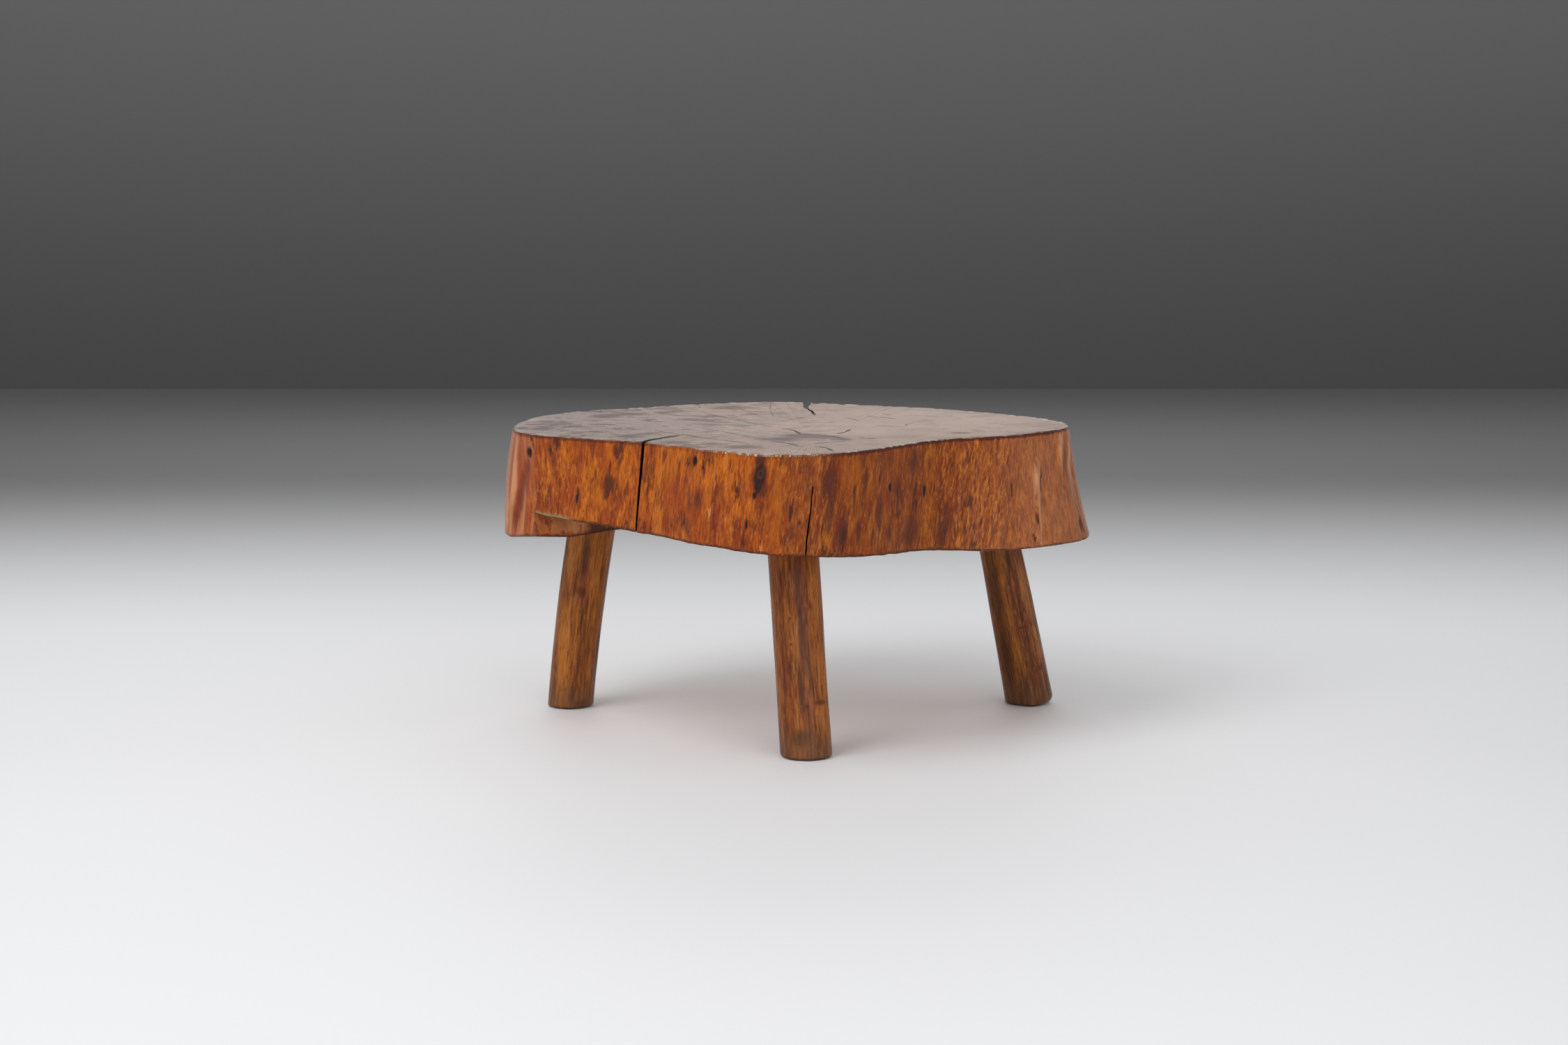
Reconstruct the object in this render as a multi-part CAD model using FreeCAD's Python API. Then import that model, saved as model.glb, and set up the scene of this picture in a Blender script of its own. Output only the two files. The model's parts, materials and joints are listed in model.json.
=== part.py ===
"""Low rustic table: a thick slice of a tree trunk standing on three pole legs.

The slice keeps the trunk's own outline. Its top is sawn flat, its wall flares towards the roots, and its
underside has two levels: a flat saw cut, and the gently rising cut made when the tree was felled, which
ends at a torn step. The wood has opened in checks that run inward from the rim.
Each leg is a peeled pole. Its round tenon fills a blind socket in the slice, its shoulder bears on the
underside, and a wedge in the tenon's saw kerf, pressed home by the socket's floor, holds it there.
Sizes are in millimetres, +Z is up, +X is to the right, and the floor is at zero under the table's middle.
"""

import FreeCAD, Part
import math
import os
from FreeCAD import Vector

# The table
TABLE_HEIGHT = 378.0
TOP_WIDTH = 700.0
TOP_DEPTH = 605.0
SLAB_THICKNESS = 136.0
RIM_ROUND = 2.5

# How far the trunk's wall stands out at its foot, at the widest root
ROOT_FLARE = 42.0

# The checks in the slab
BACK_CHECK_WIDTH = 10.0
BACK_CHECK_INNER_WIDTH = 4.0
BACK_HAIRLINE_WIDTH = 2.4
FRONT_CHECK_WIDTH = 3.4
LOW_CHECK_WIDTH = 2.2
LOW_CHECK_DEPTH = 26.0
LOW_CHECK_BELOW_TOP = 38.0
CHECK_LEAN = 12.0

# The legs, each with its diameter at the shoulder and on the floor, and how far its foot stands from the
# point under its shoulder
FRONT_LEG_TOP_DIAMETER = 62.0
FRONT_LEG_FOOT_DIAMETER = 63.0
FRONT_FOOT_RIGHTWARD = 17.0
FRONT_FOOT_FORWARD = 57.0
LEFT_LEG_TOP_DIAMETER = 60.5
LEFT_LEG_FOOT_DIAMETER = 59.5
LEFT_FOOT_LEFTWARD = 33.0
LEFT_FOOT_BACKWARD = 36.0
LEFT_LEG_BOW = 2.5
RIGHT_LEG_TOP_DIAMETER = 52.5
RIGHT_LEG_FOOT_DIAMETER = 63.5
RIGHT_FOOT_RIGHTWARD = 50.0
RIGHT_FOOT_BACKWARD = 33.0
FOOT_CHAMFER = 3.5

# The joint at the top of each leg
TENON_DIAMETER = 44.0
TENON_LENGTH = 74.0
SOCKET_CLEARANCE = 0.1
SOCKET_END_GAP = 0.3
WEDGE_LENGTH = 52.0
WEDGE_HEAD = 5.0
WEDGE_TIP = 1.4
KERF_CLEARANCE = 0.1

# How far a cutting shape runs past what it cuts
OVERRUN = 20.0

# The rim of the sawn top, seen from above and going round from the left tip by way of the front.
# x and y are shares of half the width and half the depth, from the table's middle. The last two say how
# far the wall's foot stands out from the rim there, to the right and to the back, as shares of the flare.
RIM_SHARES = (
    (-1.020, 0.000, -0.31, -0.10),
    (-0.991, -0.205, -0.36, 0.57),
    (-0.906, -0.337, -0.19, 0.48),
    (-0.769, -0.429, -0.07, 0.16),
    (-0.580, -0.545, -0.06, -0.06),
    (-0.400, -0.735, -0.05, -0.10),
    (-0.234, -0.905, -0.02, -0.08),
    (-0.054, -1.000, 0.00, -0.02),
    (0.123, -0.940, 0.04, -0.04),
    (0.265, -0.805, 0.06, -0.10),
    (0.409, -0.585, 0.08, -0.30),
    (0.537, -0.452, 0.10, -0.66),
    (0.694, -0.374, 0.20, -0.92),
    (0.831, -0.245, 0.42, -1.06),
    (0.946, -0.083, 0.64, -0.96),
    (0.980, 0.050, 0.61, -0.56),
    (0.914, 0.290, 0.54, -0.10),
    (0.751, 0.498, 0.38, 0.10),
    (0.520, 0.713, 0.22, 0.18),
    (0.223, 0.878, 0.10, 0.14),
    (-0.057, 1.000, 0.00, 0.10),
    (-0.363, 0.908, -0.10, 0.16),
    (-0.606, 0.745, -0.18, 0.18),
    (-0.834, 0.580, -0.26, 0.14),
    (-0.949, 0.403, -0.30, 0.06),
    (-1.011, 0.165, -0.31, -0.02),
)

# How much of the flare the wall has reached half way down: much on the left, where the wall swells,
# and little on the right, where it hollows before the root.
WAIST_SHARE = 0.595
WAIST_LEFT_TO_RIGHT_SHARE = 0.185

# The felling cut seen from the front, from where it leaves the flat saw cut on the right: a share of half
# the top's width, and the share of the slab's thickness that is gone there.
FELLING_CUT_SHARES = ((0.637, 0.0), (-0.020, 0.125), (-0.591, 0.200), (-1.220, 0.330))

# The torn step at the back of the felling cut, seen from above
STEP_LINE_SHARES = ((-1.220, -0.218), (-0.837, -0.096), (-0.671, 0.063), (0.637, 0.767))

# Each check's mouth on the rim and its inner end
BACK_CHECK_MOUTH_SHARES = (0.042, 0.975)
BACK_CHECK_INNER_SHARES = (0.028, 0.680)
BACK_HAIRLINE_END_SHARES = (0.068, 0.440)
FRONT_CHECK_MOUTH_SHARES = (-0.532, -0.590)
FRONT_CHECK_INNER_SHARES = (-0.386, -0.333)
LOW_CHECK_MOUTH_SHARES = (0.052, -0.985)
LOW_CHECK_HEADING = math.radians(90.0)

# Where the leg's axis meets the underside, seen from above
FRONT_SOCKET_SHARES = (-0.020, -0.495)
LEFT_SOCKET_SHARES = (-0.754, 0.165)
RIGHT_SOCKET_SHARES = (0.733, 0.235)

# Each pole's outline across its axis, as shares of its radius at even turns from the right-hand side
FRONT_POLE_SHARES = (1.00, 0.975, 1.01, 0.97, 1.00, 0.985, 1.015, 0.975, 1.00)
LEFT_POLE_SHARES = (1.00, 1.01, 0.98, 1.00, 0.975, 1.01, 0.985, 1.00, 0.97)
RIGHT_POLE_SHARES = (1.00, 0.98, 1.00, 1.015, 0.98, 1.00, 0.97, 1.01, 0.985)

# Where the pole's sections lie between its foot and its shoulder, and past them
POLE_STATION_SHARES = (-0.25, 0.25, 0.75, 1.25)

UP = Vector(0, 0, 1)
UNDERSIDE = TABLE_HEIGHT - SLAB_THICKNESS


def place(shares, height=0.0):
    """The point at these shares of half the top's width and half its depth."""
    return Vector(shares[0] * TOP_WIDTH / 2, shares[1] * TOP_DEPTH / 2, height)


def closed_curve(points):
    """One smooth closed wire through the points."""
    curve = Part.BSplineCurve()
    curve.interpolate(Points=points, PeriodicFlag=True)
    return Part.Wire(curve.toShape())


def prism(corners, along):
    """A flat polygon pushed along a vector."""
    return Part.Face(Part.makePolygon(corners + corners[:1])).extrude(along)


# The slab


def wall_section(height, reached):
    """The trunk's outline at a height. reached gives the share of the flare at a point's x share."""
    points = []
    for x_share, y_share, out_x_share, out_y_share in RIM_SHARES:
        flare = ROOT_FLARE * reached(x_share)
        points.append(
            place((x_share, y_share), height) + Vector(out_x_share * flare, out_y_share * flare, 0)
        )
    return closed_curve(points)


def trunk_slice():
    """The slice with parallel faces and softened rims."""
    foot = wall_section(UNDERSIDE, lambda x_share: 1.0)
    waist = wall_section(
        UNDERSIDE + SLAB_THICKNESS / 2,
        lambda x_share: WAIST_SHARE - WAIST_LEFT_TO_RIGHT_SHARE * x_share,
    )
    rim = wall_section(TABLE_HEIGHT, lambda x_share: 0.0)
    body = Part.makeLoft([foot, waist, rim], True, False)
    rims = [edge for edge in body.Edges if edge.BoundBox.ZLength < RIM_ROUND]
    return body.makeFillet(RIM_ROUND, rims)


def felling_cut():
    """The wood that is missing below the rising cut, in front of the torn step."""
    reach = TOP_WIDTH + TOP_DEPTH
    low = UNDERSIDE - OVERRUN
    profile = [
        place((x_share, 0), UNDERSIDE + gone_share * SLAB_THICKNESS) - Vector(0, reach, 0)
        for x_share, gone_share in FELLING_CUT_SHARES
    ]
    ends = [Vector(point.x, point.y, low) for point in (profile[-1], profile[0])]
    under_the_cut = prism(profile + ends, Vector(0, 2 * reach, 0))
    step = [place(shares, low) for shares in STEP_LINE_SHARES]
    ahead = [point - Vector(0, reach, 0) for point in (step[-1], step[0])]
    return under_the_cut.common(prism(step + ahead, UP * TABLE_HEIGHT))


def check_blade(mouth, inner, mouth_width, inner_width, low, high):
    """A check's empty space: a blade that narrows inward from the rim and leans with the grain."""
    inward = (inner - mouth).normalize()
    across = UP.cross(inward)
    outer = mouth - inward * OVERRUN
    outer_width = mouth_width + (mouth_width - inner_width) * OVERRUN / (inner - mouth).Length
    lean = across * CHECK_LEAN * (high - low) / SLAB_THICKNESS
    corners = [
        outer + across * (outer_width / 2),
        outer - across * (outer_width / 2),
        inner - across * (inner_width / 2),
        inner + across * (inner_width / 2),
    ]
    if not inner_width:
        corners.pop()
    return prism([c + lean + UP * low for c in corners], UP * (high - low) - lean)


def checks():
    """All the checks' blades."""
    low = UNDERSIDE - OVERRUN
    high = TABLE_HEIGHT + OVERRUN
    back_mouth = place(BACK_CHECK_MOUTH_SHARES)
    back_inner = place(BACK_CHECK_INNER_SHARES)
    back = check_blade(back_mouth, back_inner, BACK_CHECK_WIDTH, BACK_CHECK_INNER_WIDTH, low, high)
    hairline = check_blade(
        back_inner, place(BACK_HAIRLINE_END_SHARES), BACK_HAIRLINE_WIDTH, 0.0, low, high
    )
    front = check_blade(
        place(FRONT_CHECK_MOUTH_SHARES),
        place(FRONT_CHECK_INNER_SHARES),
        FRONT_CHECK_WIDTH,
        0.0,
        low,
        high,
    )
    low_mouth = place(LOW_CHECK_MOUTH_SHARES)
    inward = Vector(math.cos(LOW_CHECK_HEADING), math.sin(LOW_CHECK_HEADING), 0)
    lowest = check_blade(
        low_mouth,
        low_mouth + inward * LOW_CHECK_DEPTH,
        LOW_CHECK_WIDTH,
        0.0,
        low,
        TABLE_HEIGHT - LOW_CHECK_BELOW_TOP,
    )
    return [back, hairline, front, lowest]


# The legs


class Leg:
    """One pole leg: where it stands, its sizes, and the directions along and across its axis."""

    def __init__(self, slab, socket_shares, foot_offset, diameters, bow, pole_shares):
        below = place(socket_shares)
        plumb_line = Part.makeLine(below, below + UP * TABLE_HEIGHT)
        self.shoulder = below + UP * slab.common(plumb_line).BoundBox.ZMin
        self.foot = below + foot_offset
        self.top_diameter, self.foot_diameter = diameters
        self.bow = bow
        self.pole_shares = pole_shares
        self.axis = (self.shoulder - self.foot).normalize()
        self.side = Vector(0, 1, 0).cross(self.axis).normalize()
        self.back = self.axis.cross(self.side)

    def section(self, share):
        """The pole's outline at a share of the way from its foot to its shoulder."""
        centre = self.foot + (self.shoulder - self.foot) * share
        centre -= self.side * self.bow * (1 - (2 * share - 1) ** 2)
        radius = (self.foot_diameter + (self.top_diameter - self.foot_diameter) * share) / 2
        points = []
        for turn, radius_share in enumerate(self.pole_shares):
            angle = 2 * math.pi * turn / len(self.pole_shares)
            outward = self.side * math.cos(angle) + self.back * math.sin(angle)
            points.append(centre + outward * (radius * radius_share))
        return closed_curve(points)

    def pole(self, slab):
        """The pole, sawn flat on the floor and scribed to the slab's underside."""
        shaft = Part.makeLoft([self.section(s) for s in POLE_STATION_SHARES], True, False)
        below_floor = Part.makeBox(
            2 * TOP_WIDTH, 2 * TOP_DEPTH, TABLE_HEIGHT, Vector(-TOP_WIDTH, -TOP_DEPTH, -TABLE_HEIGHT)
        )
        shaft = shaft.cut(below_floor).cut(slab)
        sole = [edge for edge in shaft.Edges if edge.BoundBox.ZMax < FOOT_CHAMFER / 2]
        return shaft.makeChamfer(FOOT_CHAMFER, sole)

    def cylinder(self, radius, start, length):
        """A round bar along the leg's axis, start measured from the shoulder."""
        return Part.makeCylinder(radius, length, self.shoulder + self.axis * start, self.axis)

    def tenon(self):
        return self.cylinder(TENON_DIAMETER / 2, -TENON_LENGTH / 2, TENON_LENGTH * 3 / 2)

    def socket(self):
        depth = TENON_LENGTH + SOCKET_END_GAP
        return self.cylinder(
            TENON_DIAMETER / 2 + SOCKET_CLEARANCE, -TENON_DIAMETER, depth + TENON_DIAMETER
        )

    def taper(self, tip, head, length, overrun):
        """A tapered blade in the tenon: tip thick at its point and head thick at the tenon's end."""
        end = self.shoulder + self.axis * TENON_LENGTH
        widening = (head - tip) / length
        half_width = self.back * (TENON_DIAMETER / 2)
        low, high = end - self.axis * length, end + self.axis * overrun
        half_tip = self.side * (tip / 2)
        half_head = self.side * ((head + widening * overrun) / 2)
        corners = [low - half_tip, low + half_tip, high + half_head, high - half_head]
        return prism([c - half_width for c in corners], half_width * 2)

    def kerf(self):
        """The saw cut in the tenon, spread by the wedge."""
        grown = 2 * KERF_CLEARANCE
        length = WEDGE_LENGTH + KERF_CLEARANCE
        return self.taper(WEDGE_TIP + grown, WEDGE_HEAD + grown, length, OVERRUN)

    def wedge(self):
        """The wedge, rounded to the socket, its head on the socket's floor."""
        blade = self.taper(WEDGE_TIP, WEDGE_HEAD, WEDGE_LENGTH, SOCKET_END_GAP)
        return blade.common(self.cylinder(TENON_DIAMETER / 2, 0.0, TENON_LENGTH + SOCKET_END_GAP))


def make_legs(slab):
    """The three legs by name."""
    return {
        "front": Leg(
            slab,
            FRONT_SOCKET_SHARES,
            Vector(FRONT_FOOT_RIGHTWARD, -FRONT_FOOT_FORWARD, 0),
            (FRONT_LEG_TOP_DIAMETER, FRONT_LEG_FOOT_DIAMETER),
            0.0,
            FRONT_POLE_SHARES,
        ),
        "left": Leg(
            slab,
            LEFT_SOCKET_SHARES,
            Vector(-LEFT_FOOT_LEFTWARD, LEFT_FOOT_BACKWARD, 0),
            (LEFT_LEG_TOP_DIAMETER, LEFT_LEG_FOOT_DIAMETER),
            LEFT_LEG_BOW,
            LEFT_POLE_SHARES,
        ),
        "right": Leg(
            slab,
            RIGHT_SOCKET_SHARES,
            Vector(RIGHT_FOOT_RIGHTWARD, RIGHT_FOOT_BACKWARD, 0),
            (RIGHT_LEG_TOP_DIAMETER, RIGHT_LEG_FOOT_DIAMETER),
            0.0,
            RIGHT_POLE_SHARES,
        ),
    }


def main():
    slab = trunk_slice().cut(felling_cut())
    legs = make_legs(slab)
    pieces = {}
    for name, leg in legs.items():
        pieces[name + "_leg"] = leg.pole(slab).fuse(leg.tenon()).cut(leg.kerf())
        pieces[name + "_wedge"] = leg.wedge()
    pieces["tabletop_slab"] = slab.cut(checks() + [leg.socket() for leg in legs.values()])
    os.makedirs("parts", exist_ok=True)
    for name, shape in pieces.items():
        print(name, shape.isValid(), len(shape.Solids), round(shape.Volume))
        shape.exportStep("parts/" + name + ".step")


main()
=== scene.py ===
"""The looks of the low tree-slice table, in metres.

The slice is a mesh of its own: the trunk's outline with its swells, flutes, grain ridges and knots, cut by
the felling cut, the torn step, the checks and the sockets. Each leg is a mesh that follows its solid pole and
keeps its tenon. What the photograph shows at a place is given as a pixel of its 2250 x 1500 frame and cast
onto the table, so that it lies on the wood from every side.
"""

import json
import math
from collections import namedtuple

import bmesh
import bpy
import numpy as np
from mathutils import Euler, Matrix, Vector, noise
from mathutils.bvhtree import BVHTree


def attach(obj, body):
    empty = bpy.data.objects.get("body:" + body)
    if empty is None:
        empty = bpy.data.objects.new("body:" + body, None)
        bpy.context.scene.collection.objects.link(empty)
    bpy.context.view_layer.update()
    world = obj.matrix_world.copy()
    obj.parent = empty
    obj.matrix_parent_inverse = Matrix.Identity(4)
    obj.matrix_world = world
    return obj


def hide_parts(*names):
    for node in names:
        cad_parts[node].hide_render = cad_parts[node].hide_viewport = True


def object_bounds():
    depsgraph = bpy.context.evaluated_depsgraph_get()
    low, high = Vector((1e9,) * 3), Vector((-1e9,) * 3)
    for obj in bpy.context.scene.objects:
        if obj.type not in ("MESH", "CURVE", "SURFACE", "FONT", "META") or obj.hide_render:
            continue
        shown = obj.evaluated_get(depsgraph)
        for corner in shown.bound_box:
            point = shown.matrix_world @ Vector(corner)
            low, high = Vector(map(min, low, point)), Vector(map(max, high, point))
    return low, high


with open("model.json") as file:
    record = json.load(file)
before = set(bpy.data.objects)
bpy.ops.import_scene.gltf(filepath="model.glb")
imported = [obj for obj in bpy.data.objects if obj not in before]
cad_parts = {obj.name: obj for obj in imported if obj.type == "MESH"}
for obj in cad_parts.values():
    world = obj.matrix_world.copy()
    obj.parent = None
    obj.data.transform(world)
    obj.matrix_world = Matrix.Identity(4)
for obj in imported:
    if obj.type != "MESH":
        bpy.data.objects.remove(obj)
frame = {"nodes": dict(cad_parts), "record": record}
cad_low, cad_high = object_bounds()

# The table's sizes, the same as in its solids
TABLE_HEIGHT = 0.378
HALF_SIZE = np.array((0.350, 0.3025))
SLAB_THICKNESS = 0.136
UNDERSIDE = TABLE_HEIGHT - SLAB_THICKNESS
ROOT_FLARE = 0.042
CHECK_LEAN = 0.012
TENON_RADIUS = 0.022
TENON_LENGTH = 0.074
SOCKET_CLEARANCE = 0.0001
SOCKET_END_GAP = 0.0003
SOCKET_OVERRUN = 0.03

# The rim of the top, going round from the left tip by way of the front: x and y as shares of half the size,
# then how far the wall's foot stands out there, as shares of the flare.
RIM_SHARES = np.array((
    (-1.020, 0.000, -0.31, -0.10),
    (-0.991, -0.205, -0.36, 0.57),
    (-0.906, -0.337, -0.19, 0.48),
    (-0.769, -0.429, -0.07, 0.16),
    (-0.580, -0.545, -0.06, -0.06),
    (-0.400, -0.735, -0.05, -0.10),
    (-0.234, -0.905, -0.02, -0.08),
    (-0.054, -1.000, 0.00, -0.02),
    (0.123, -0.940, 0.04, -0.04),
    (0.265, -0.805, 0.06, -0.10),
    (0.409, -0.585, 0.08, -0.30),
    (0.537, -0.452, 0.10, -0.66),
    (0.694, -0.374, 0.20, -0.92),
    (0.831, -0.245, 0.42, -1.06),
    (0.946, -0.083, 0.64, -0.96),
    (0.980, 0.050, 0.61, -0.56),
    (0.914, 0.290, 0.54, -0.10),
    (0.751, 0.498, 0.38, 0.10),
    (0.520, 0.713, 0.22, 0.18),
    (0.223, 0.878, 0.10, 0.14),
    (-0.057, 1.000, 0.00, 0.10),
    (-0.363, 0.908, -0.10, 0.16),
    (-0.606, 0.745, -0.18, 0.18),
    (-0.834, 0.580, -0.26, 0.14),
    (-0.949, 0.403, -0.30, 0.06),
    (-1.011, 0.165, -0.31, -0.02),
))
WAIST_SHARE = 0.595
WAIST_LEFT_TO_RIGHT_SHARE = 0.185

# The felling cut seen from the front, and the torn step at its back seen from above. The step starts at the
# wall, where the lip does, and left of it the wall goes on down to a foot that rises a little to the front.
FELLING_CUT_SHARES = np.array(((-1.220, 0.330), (-0.591, 0.200), (-0.020, 0.125), (0.637, 0.0)))
STEP_LINE_SHARES = np.array(
    ((-0.975, -0.500), (-0.945, -0.290), (-0.890, -0.225), (-0.790, -0.110), (-0.671, 0.063), (0.637, 0.767))
)
FELLING_CUT = FELLING_CUT_SHARES * (HALF_SIZE[0], SLAB_THICKNESS)
STEP_LINE = STEP_LINE_SHARES * HALF_SIZE
STEP_ENDS = STEP_LINE[[0, -1], 0]
LEFT_FOOT_SLOPE = 0.18
LEFT_FOOT_FRONT = -0.040
LEFT_FOOT_ENDS = (-0.24, -0.29)
LIP_END = -0.225
TORN_MARGIN = 0.001
TORN_DEPTH = 0.012

# Where each leg's axis meets the underside, seen from above
SHOULDER_SHARES = {"front": (-0.020, -0.495), "left": (-0.754, 0.165), "right": (0.733, 0.235)}

# The tree's middle in the top, and how the grain winds round the trunk
PITH = np.array((0.018, -0.125))
TRUNK_RADIUS = 0.33
SPIRAL = 0.40
RIGHT_SPIRAL = 0.85
RIGHT_SPIRAL_ENDS = (0.08, 0.22)
MIDDLE_HEIGHT = 0.31

# How finely the slab is made, and the rings that close its top and its underside
FRONT_STEP = 0.0021
BACK_STEP = 0.0036
WALL_ROWS = 46
ROUND_ROWS = 4
RIM_ROUND = 0.0024
FOOT_ROUND = 0.0032
TOP_RING_SHARES = (0.99, 0.97, 0.94, 0.90, 0.84, 0.76, 0.66, 0.54, 0.40, 0.24, 0.08)
BASE_RING_SHARES = (0.985, 0.95, 0.88, 0.76, 0.6, 0.4, 0.15)

# The rim's chips and wear, and how far the worn top sinks inside it
RIM_CHIP = 0.0022
RIM_CHIP_START = 0.10
RIM_WEAR = 0.0010
RIM_WEAR_REACH = 0.016
TOP_SINK = 0.0003
TOP_SINK_SHARES = (0.95, 1.0)

# The camera of the photograph
PHOTO_WIDTH = 2250
PHOTO_HEIGHT = 1500
LENS_MM = 64.0
SENSOR_MM = 36.0
FOCAL_PIXELS = LENS_MM / SENSOR_MM * PHOTO_WIDTH
CAMERA_PLACE = Vector((-0.0168, -3.498, 0.765))
CAMERA_TURN = Euler((math.radians(90 - 8.3), 0, 0))
UP = Vector((0, 0, 1))


# Places in the photograph


def photo_ray(pixel):
    """The direction from the camera through a pixel."""
    ray = Vector((pixel[0] - PHOTO_WIDTH / 2, PHOTO_HEIGHT / 2 - pixel[1], -FOCAL_PIXELS))
    ray.rotate(CAMERA_TURN)
    return ray.normalized()


def on_top(pixel):
    """The point of the table's top that a pixel shows."""
    ray = photo_ray(pixel)
    return CAMERA_PLACE + ray * ((TABLE_HEIGHT - CAMERA_PLACE.z) / ray.z)


def on_surface(surface, pixel):
    """The point of a surface that a pixel shows, and the way that the surface faces there."""
    place, out, _, _ = surface.ray_cast(CAMERA_PLACE, photo_ray(pixel))
    if place is None:
        raise ValueError(f"pixel {pixel} misses the table")
    return place, out


# Meshes

# Points closer than this are joined after the cuts, and in the legs' solids before them
WELD_REACH = 0.00002
SOLID_WELD_REACH = 1e-6


def field(points, cells_per_metre, seed):
    """Smooth noise, about -1 to 1, at each point."""
    places = np.asarray(points) * np.array(cells_per_metre) + seed
    return np.array([noise.noise(place) for place in places.tolist()])


def layered(points, layers, seed=0.0):
    """The sum of several noises, each given by its height, its cells per metre and its seed."""
    return sum(height * field(points, cells, seed + shift) for height, cells, shift in layers)


def make_object(name, points, faces, material=None):
    """An object in the scene from its points and faces."""
    mesh = bpy.data.meshes.new(name)
    mesh.from_pydata(np.asarray(points).tolist(), [], faces)
    if material:
        mesh.materials.append(material)
    made = bpy.data.objects.new(name, mesh)
    bpy.context.scene.collection.objects.link(made)
    return made


def closed_tube(name, loops, material=None, ladder=False):
    """A closed mesh from loops of points, lowest first, each anticlockwise seen from above. Its ends
    close to a middle point, or, with ladder, straight across from one half of the loop to the other."""
    rows, columns, _ = loops.shape
    index = np.arange(rows * columns).reshape(rows, columns)
    following = np.roll(index, -1, axis=1)
    faces = np.stack([index[:-1], following[:-1], following[1:], index[1:]], axis=-1)
    faces = faces.reshape(-1, 4).tolist()
    points = loops.reshape(-1, 3)
    if ladder:
        half = columns // 2
        for near in range(half - 1):
            far = columns - 1 - near
            faces.append(index[0, [near + 1, near, far, far - 1]].tolist())
            faces.append(index[-1, [near, near + 1, far - 1, far]].tolist())
    else:
        foot, head = rows * columns, rows * columns + 1
        points = np.vstack([points, loops[0].mean(axis=0), loops[-1].mean(axis=0)])
        for here, there in zip(index[0].tolist(), following[0].tolist()):
            faces.append([foot, there, here])
        for here, there in zip(index[-1].tolist(), following[-1].tolist()):
            faces.append([head, here, there])
    return make_object(name, points, faces, material)


def carve(target, tool, operation="DIFFERENCE"):
    """Cuts the tool out of the target, or joins or crosses the two, and deletes the tool."""
    modifier = target.modifiers.new("carve", "BOOLEAN")
    modifier.solver = "MANIFOLD"
    modifier.operation = operation
    modifier.object = tool
    modifier.material_mode = "TRANSFER"
    shaped = target.evaluated_get(bpy.context.evaluated_depsgraph_get())
    mesh = bpy.data.meshes.new_from_object(shaped)
    if not mesh.polygons:
        raise ValueError(f"{operation} left nothing of {target.name}")
    target.modifiers.clear()
    target.data = mesh
    bpy.data.objects.remove(tool)


def clean_cuts(piece):
    """Joins points that a cut left closer than the weld's reach, and splits many-sided faces."""
    shape = bmesh.new()
    shape.from_mesh(piece.data)
    bmesh.ops.remove_doubles(shape, verts=shape.verts, dist=WELD_REACH)
    bmesh.ops.dissolve_degenerate(shape, edges=shape.edges, dist=WELD_REACH)
    bmesh.ops.triangulate(shape, faces=[face for face in shape.faces if len(face.verts) > 4])
    shape.to_mesh(piece.data)
    shape.free()


def smooth_faces(piece, sharp_degrees):
    """Shades a piece smoothly, apart from edges sharper than the angle."""
    piece.data.polygons.foreach_set("use_smooth", [True] * len(piece.data.polygons))
    piece.data.set_sharp_from_angle(angle=math.radians(sharp_degrees))


# The trunk slice


def curve_through(points, spans, parts):
    """Points of the smooth closed curve through the given ones, each some part of the way along a span."""
    ahead = np.roll(points, -1, axis=0)
    chord = np.linalg.norm(ahead - points, axis=1)
    behind = np.roll(chord, 1)
    row = np.arange(len(points))
    system = np.zeros((len(points), len(points)))
    system[row, row - 1] = behind
    system[row, row] = 2 * (behind + chord)
    system[row, (row + 1) % len(points)] = chord
    slope = (ahead - points) / chord[:, None]
    bend = np.linalg.solve(system, 6 * (slope - np.roll(slope, 1, axis=0)))
    after = np.roll(bend, -1, axis=0)
    far = parts[:, None]
    near = 1 - far
    square = chord[spans, None] ** 2 / 6
    start = points[spans] - bend[spans] * square
    end = ahead[spans] - after[spans] * square
    return start * near + end * far + (bend[spans] * near**3 + after[spans] * far**3) * square


def trunk_columns():
    """Which span of the outline each column of the wall lies on, and how far along it."""
    knots = RIM_SHARES[:, :2] * HALF_SIZE
    spans, parts = [], []
    for span, (here, there) in enumerate(zip(knots, np.roll(knots, -1, axis=0))):
        step = FRONT_STEP if here[1] + there[1] < 0 else BACK_STEP
        count = round(np.linalg.norm(there - here) / step)
        spans += [span] * count
        parts += [number / count for number in range(count)]
    return np.array(spans), np.array(parts)


def trunk_outlines():
    """A function that gives the trunk's smooth outline at a height."""
    spans, parts = trunk_columns()
    rim_knots = RIM_SHARES[:, :2] * HALF_SIZE
    flare = RIM_SHARES[:, 2:] * ROOT_FLARE
    reached = (WAIST_SHARE - WAIST_LEFT_TO_RIGHT_SHARE * RIM_SHARES[:, 0])[:, None]
    foot = curve_through(rim_knots + flare, spans, parts)
    waist = curve_through(rim_knots + flare * reached, spans, parts)
    rim = curve_through(rim_knots, spans, parts)

    def outline(height):
        share = (height - UNDERSIDE) / SLAB_THICKNESS
        return (
            foot * (2 * share - 1) * (share - 1)
            + waist * 4 * share * (1 - share)
            + rim * share * (2 * share - 1)
        )

    return outline


def outward(loop):
    """The level direction out of an anticlockwise loop, at each of its points."""
    along = np.roll(loop, -1, axis=0) - np.roll(loop, 1, axis=0)
    across = np.stack([along[:, 1], -along[:, 0]], axis=1)
    return across / np.linalg.norm(across, axis=1, keepdims=True)


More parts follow.
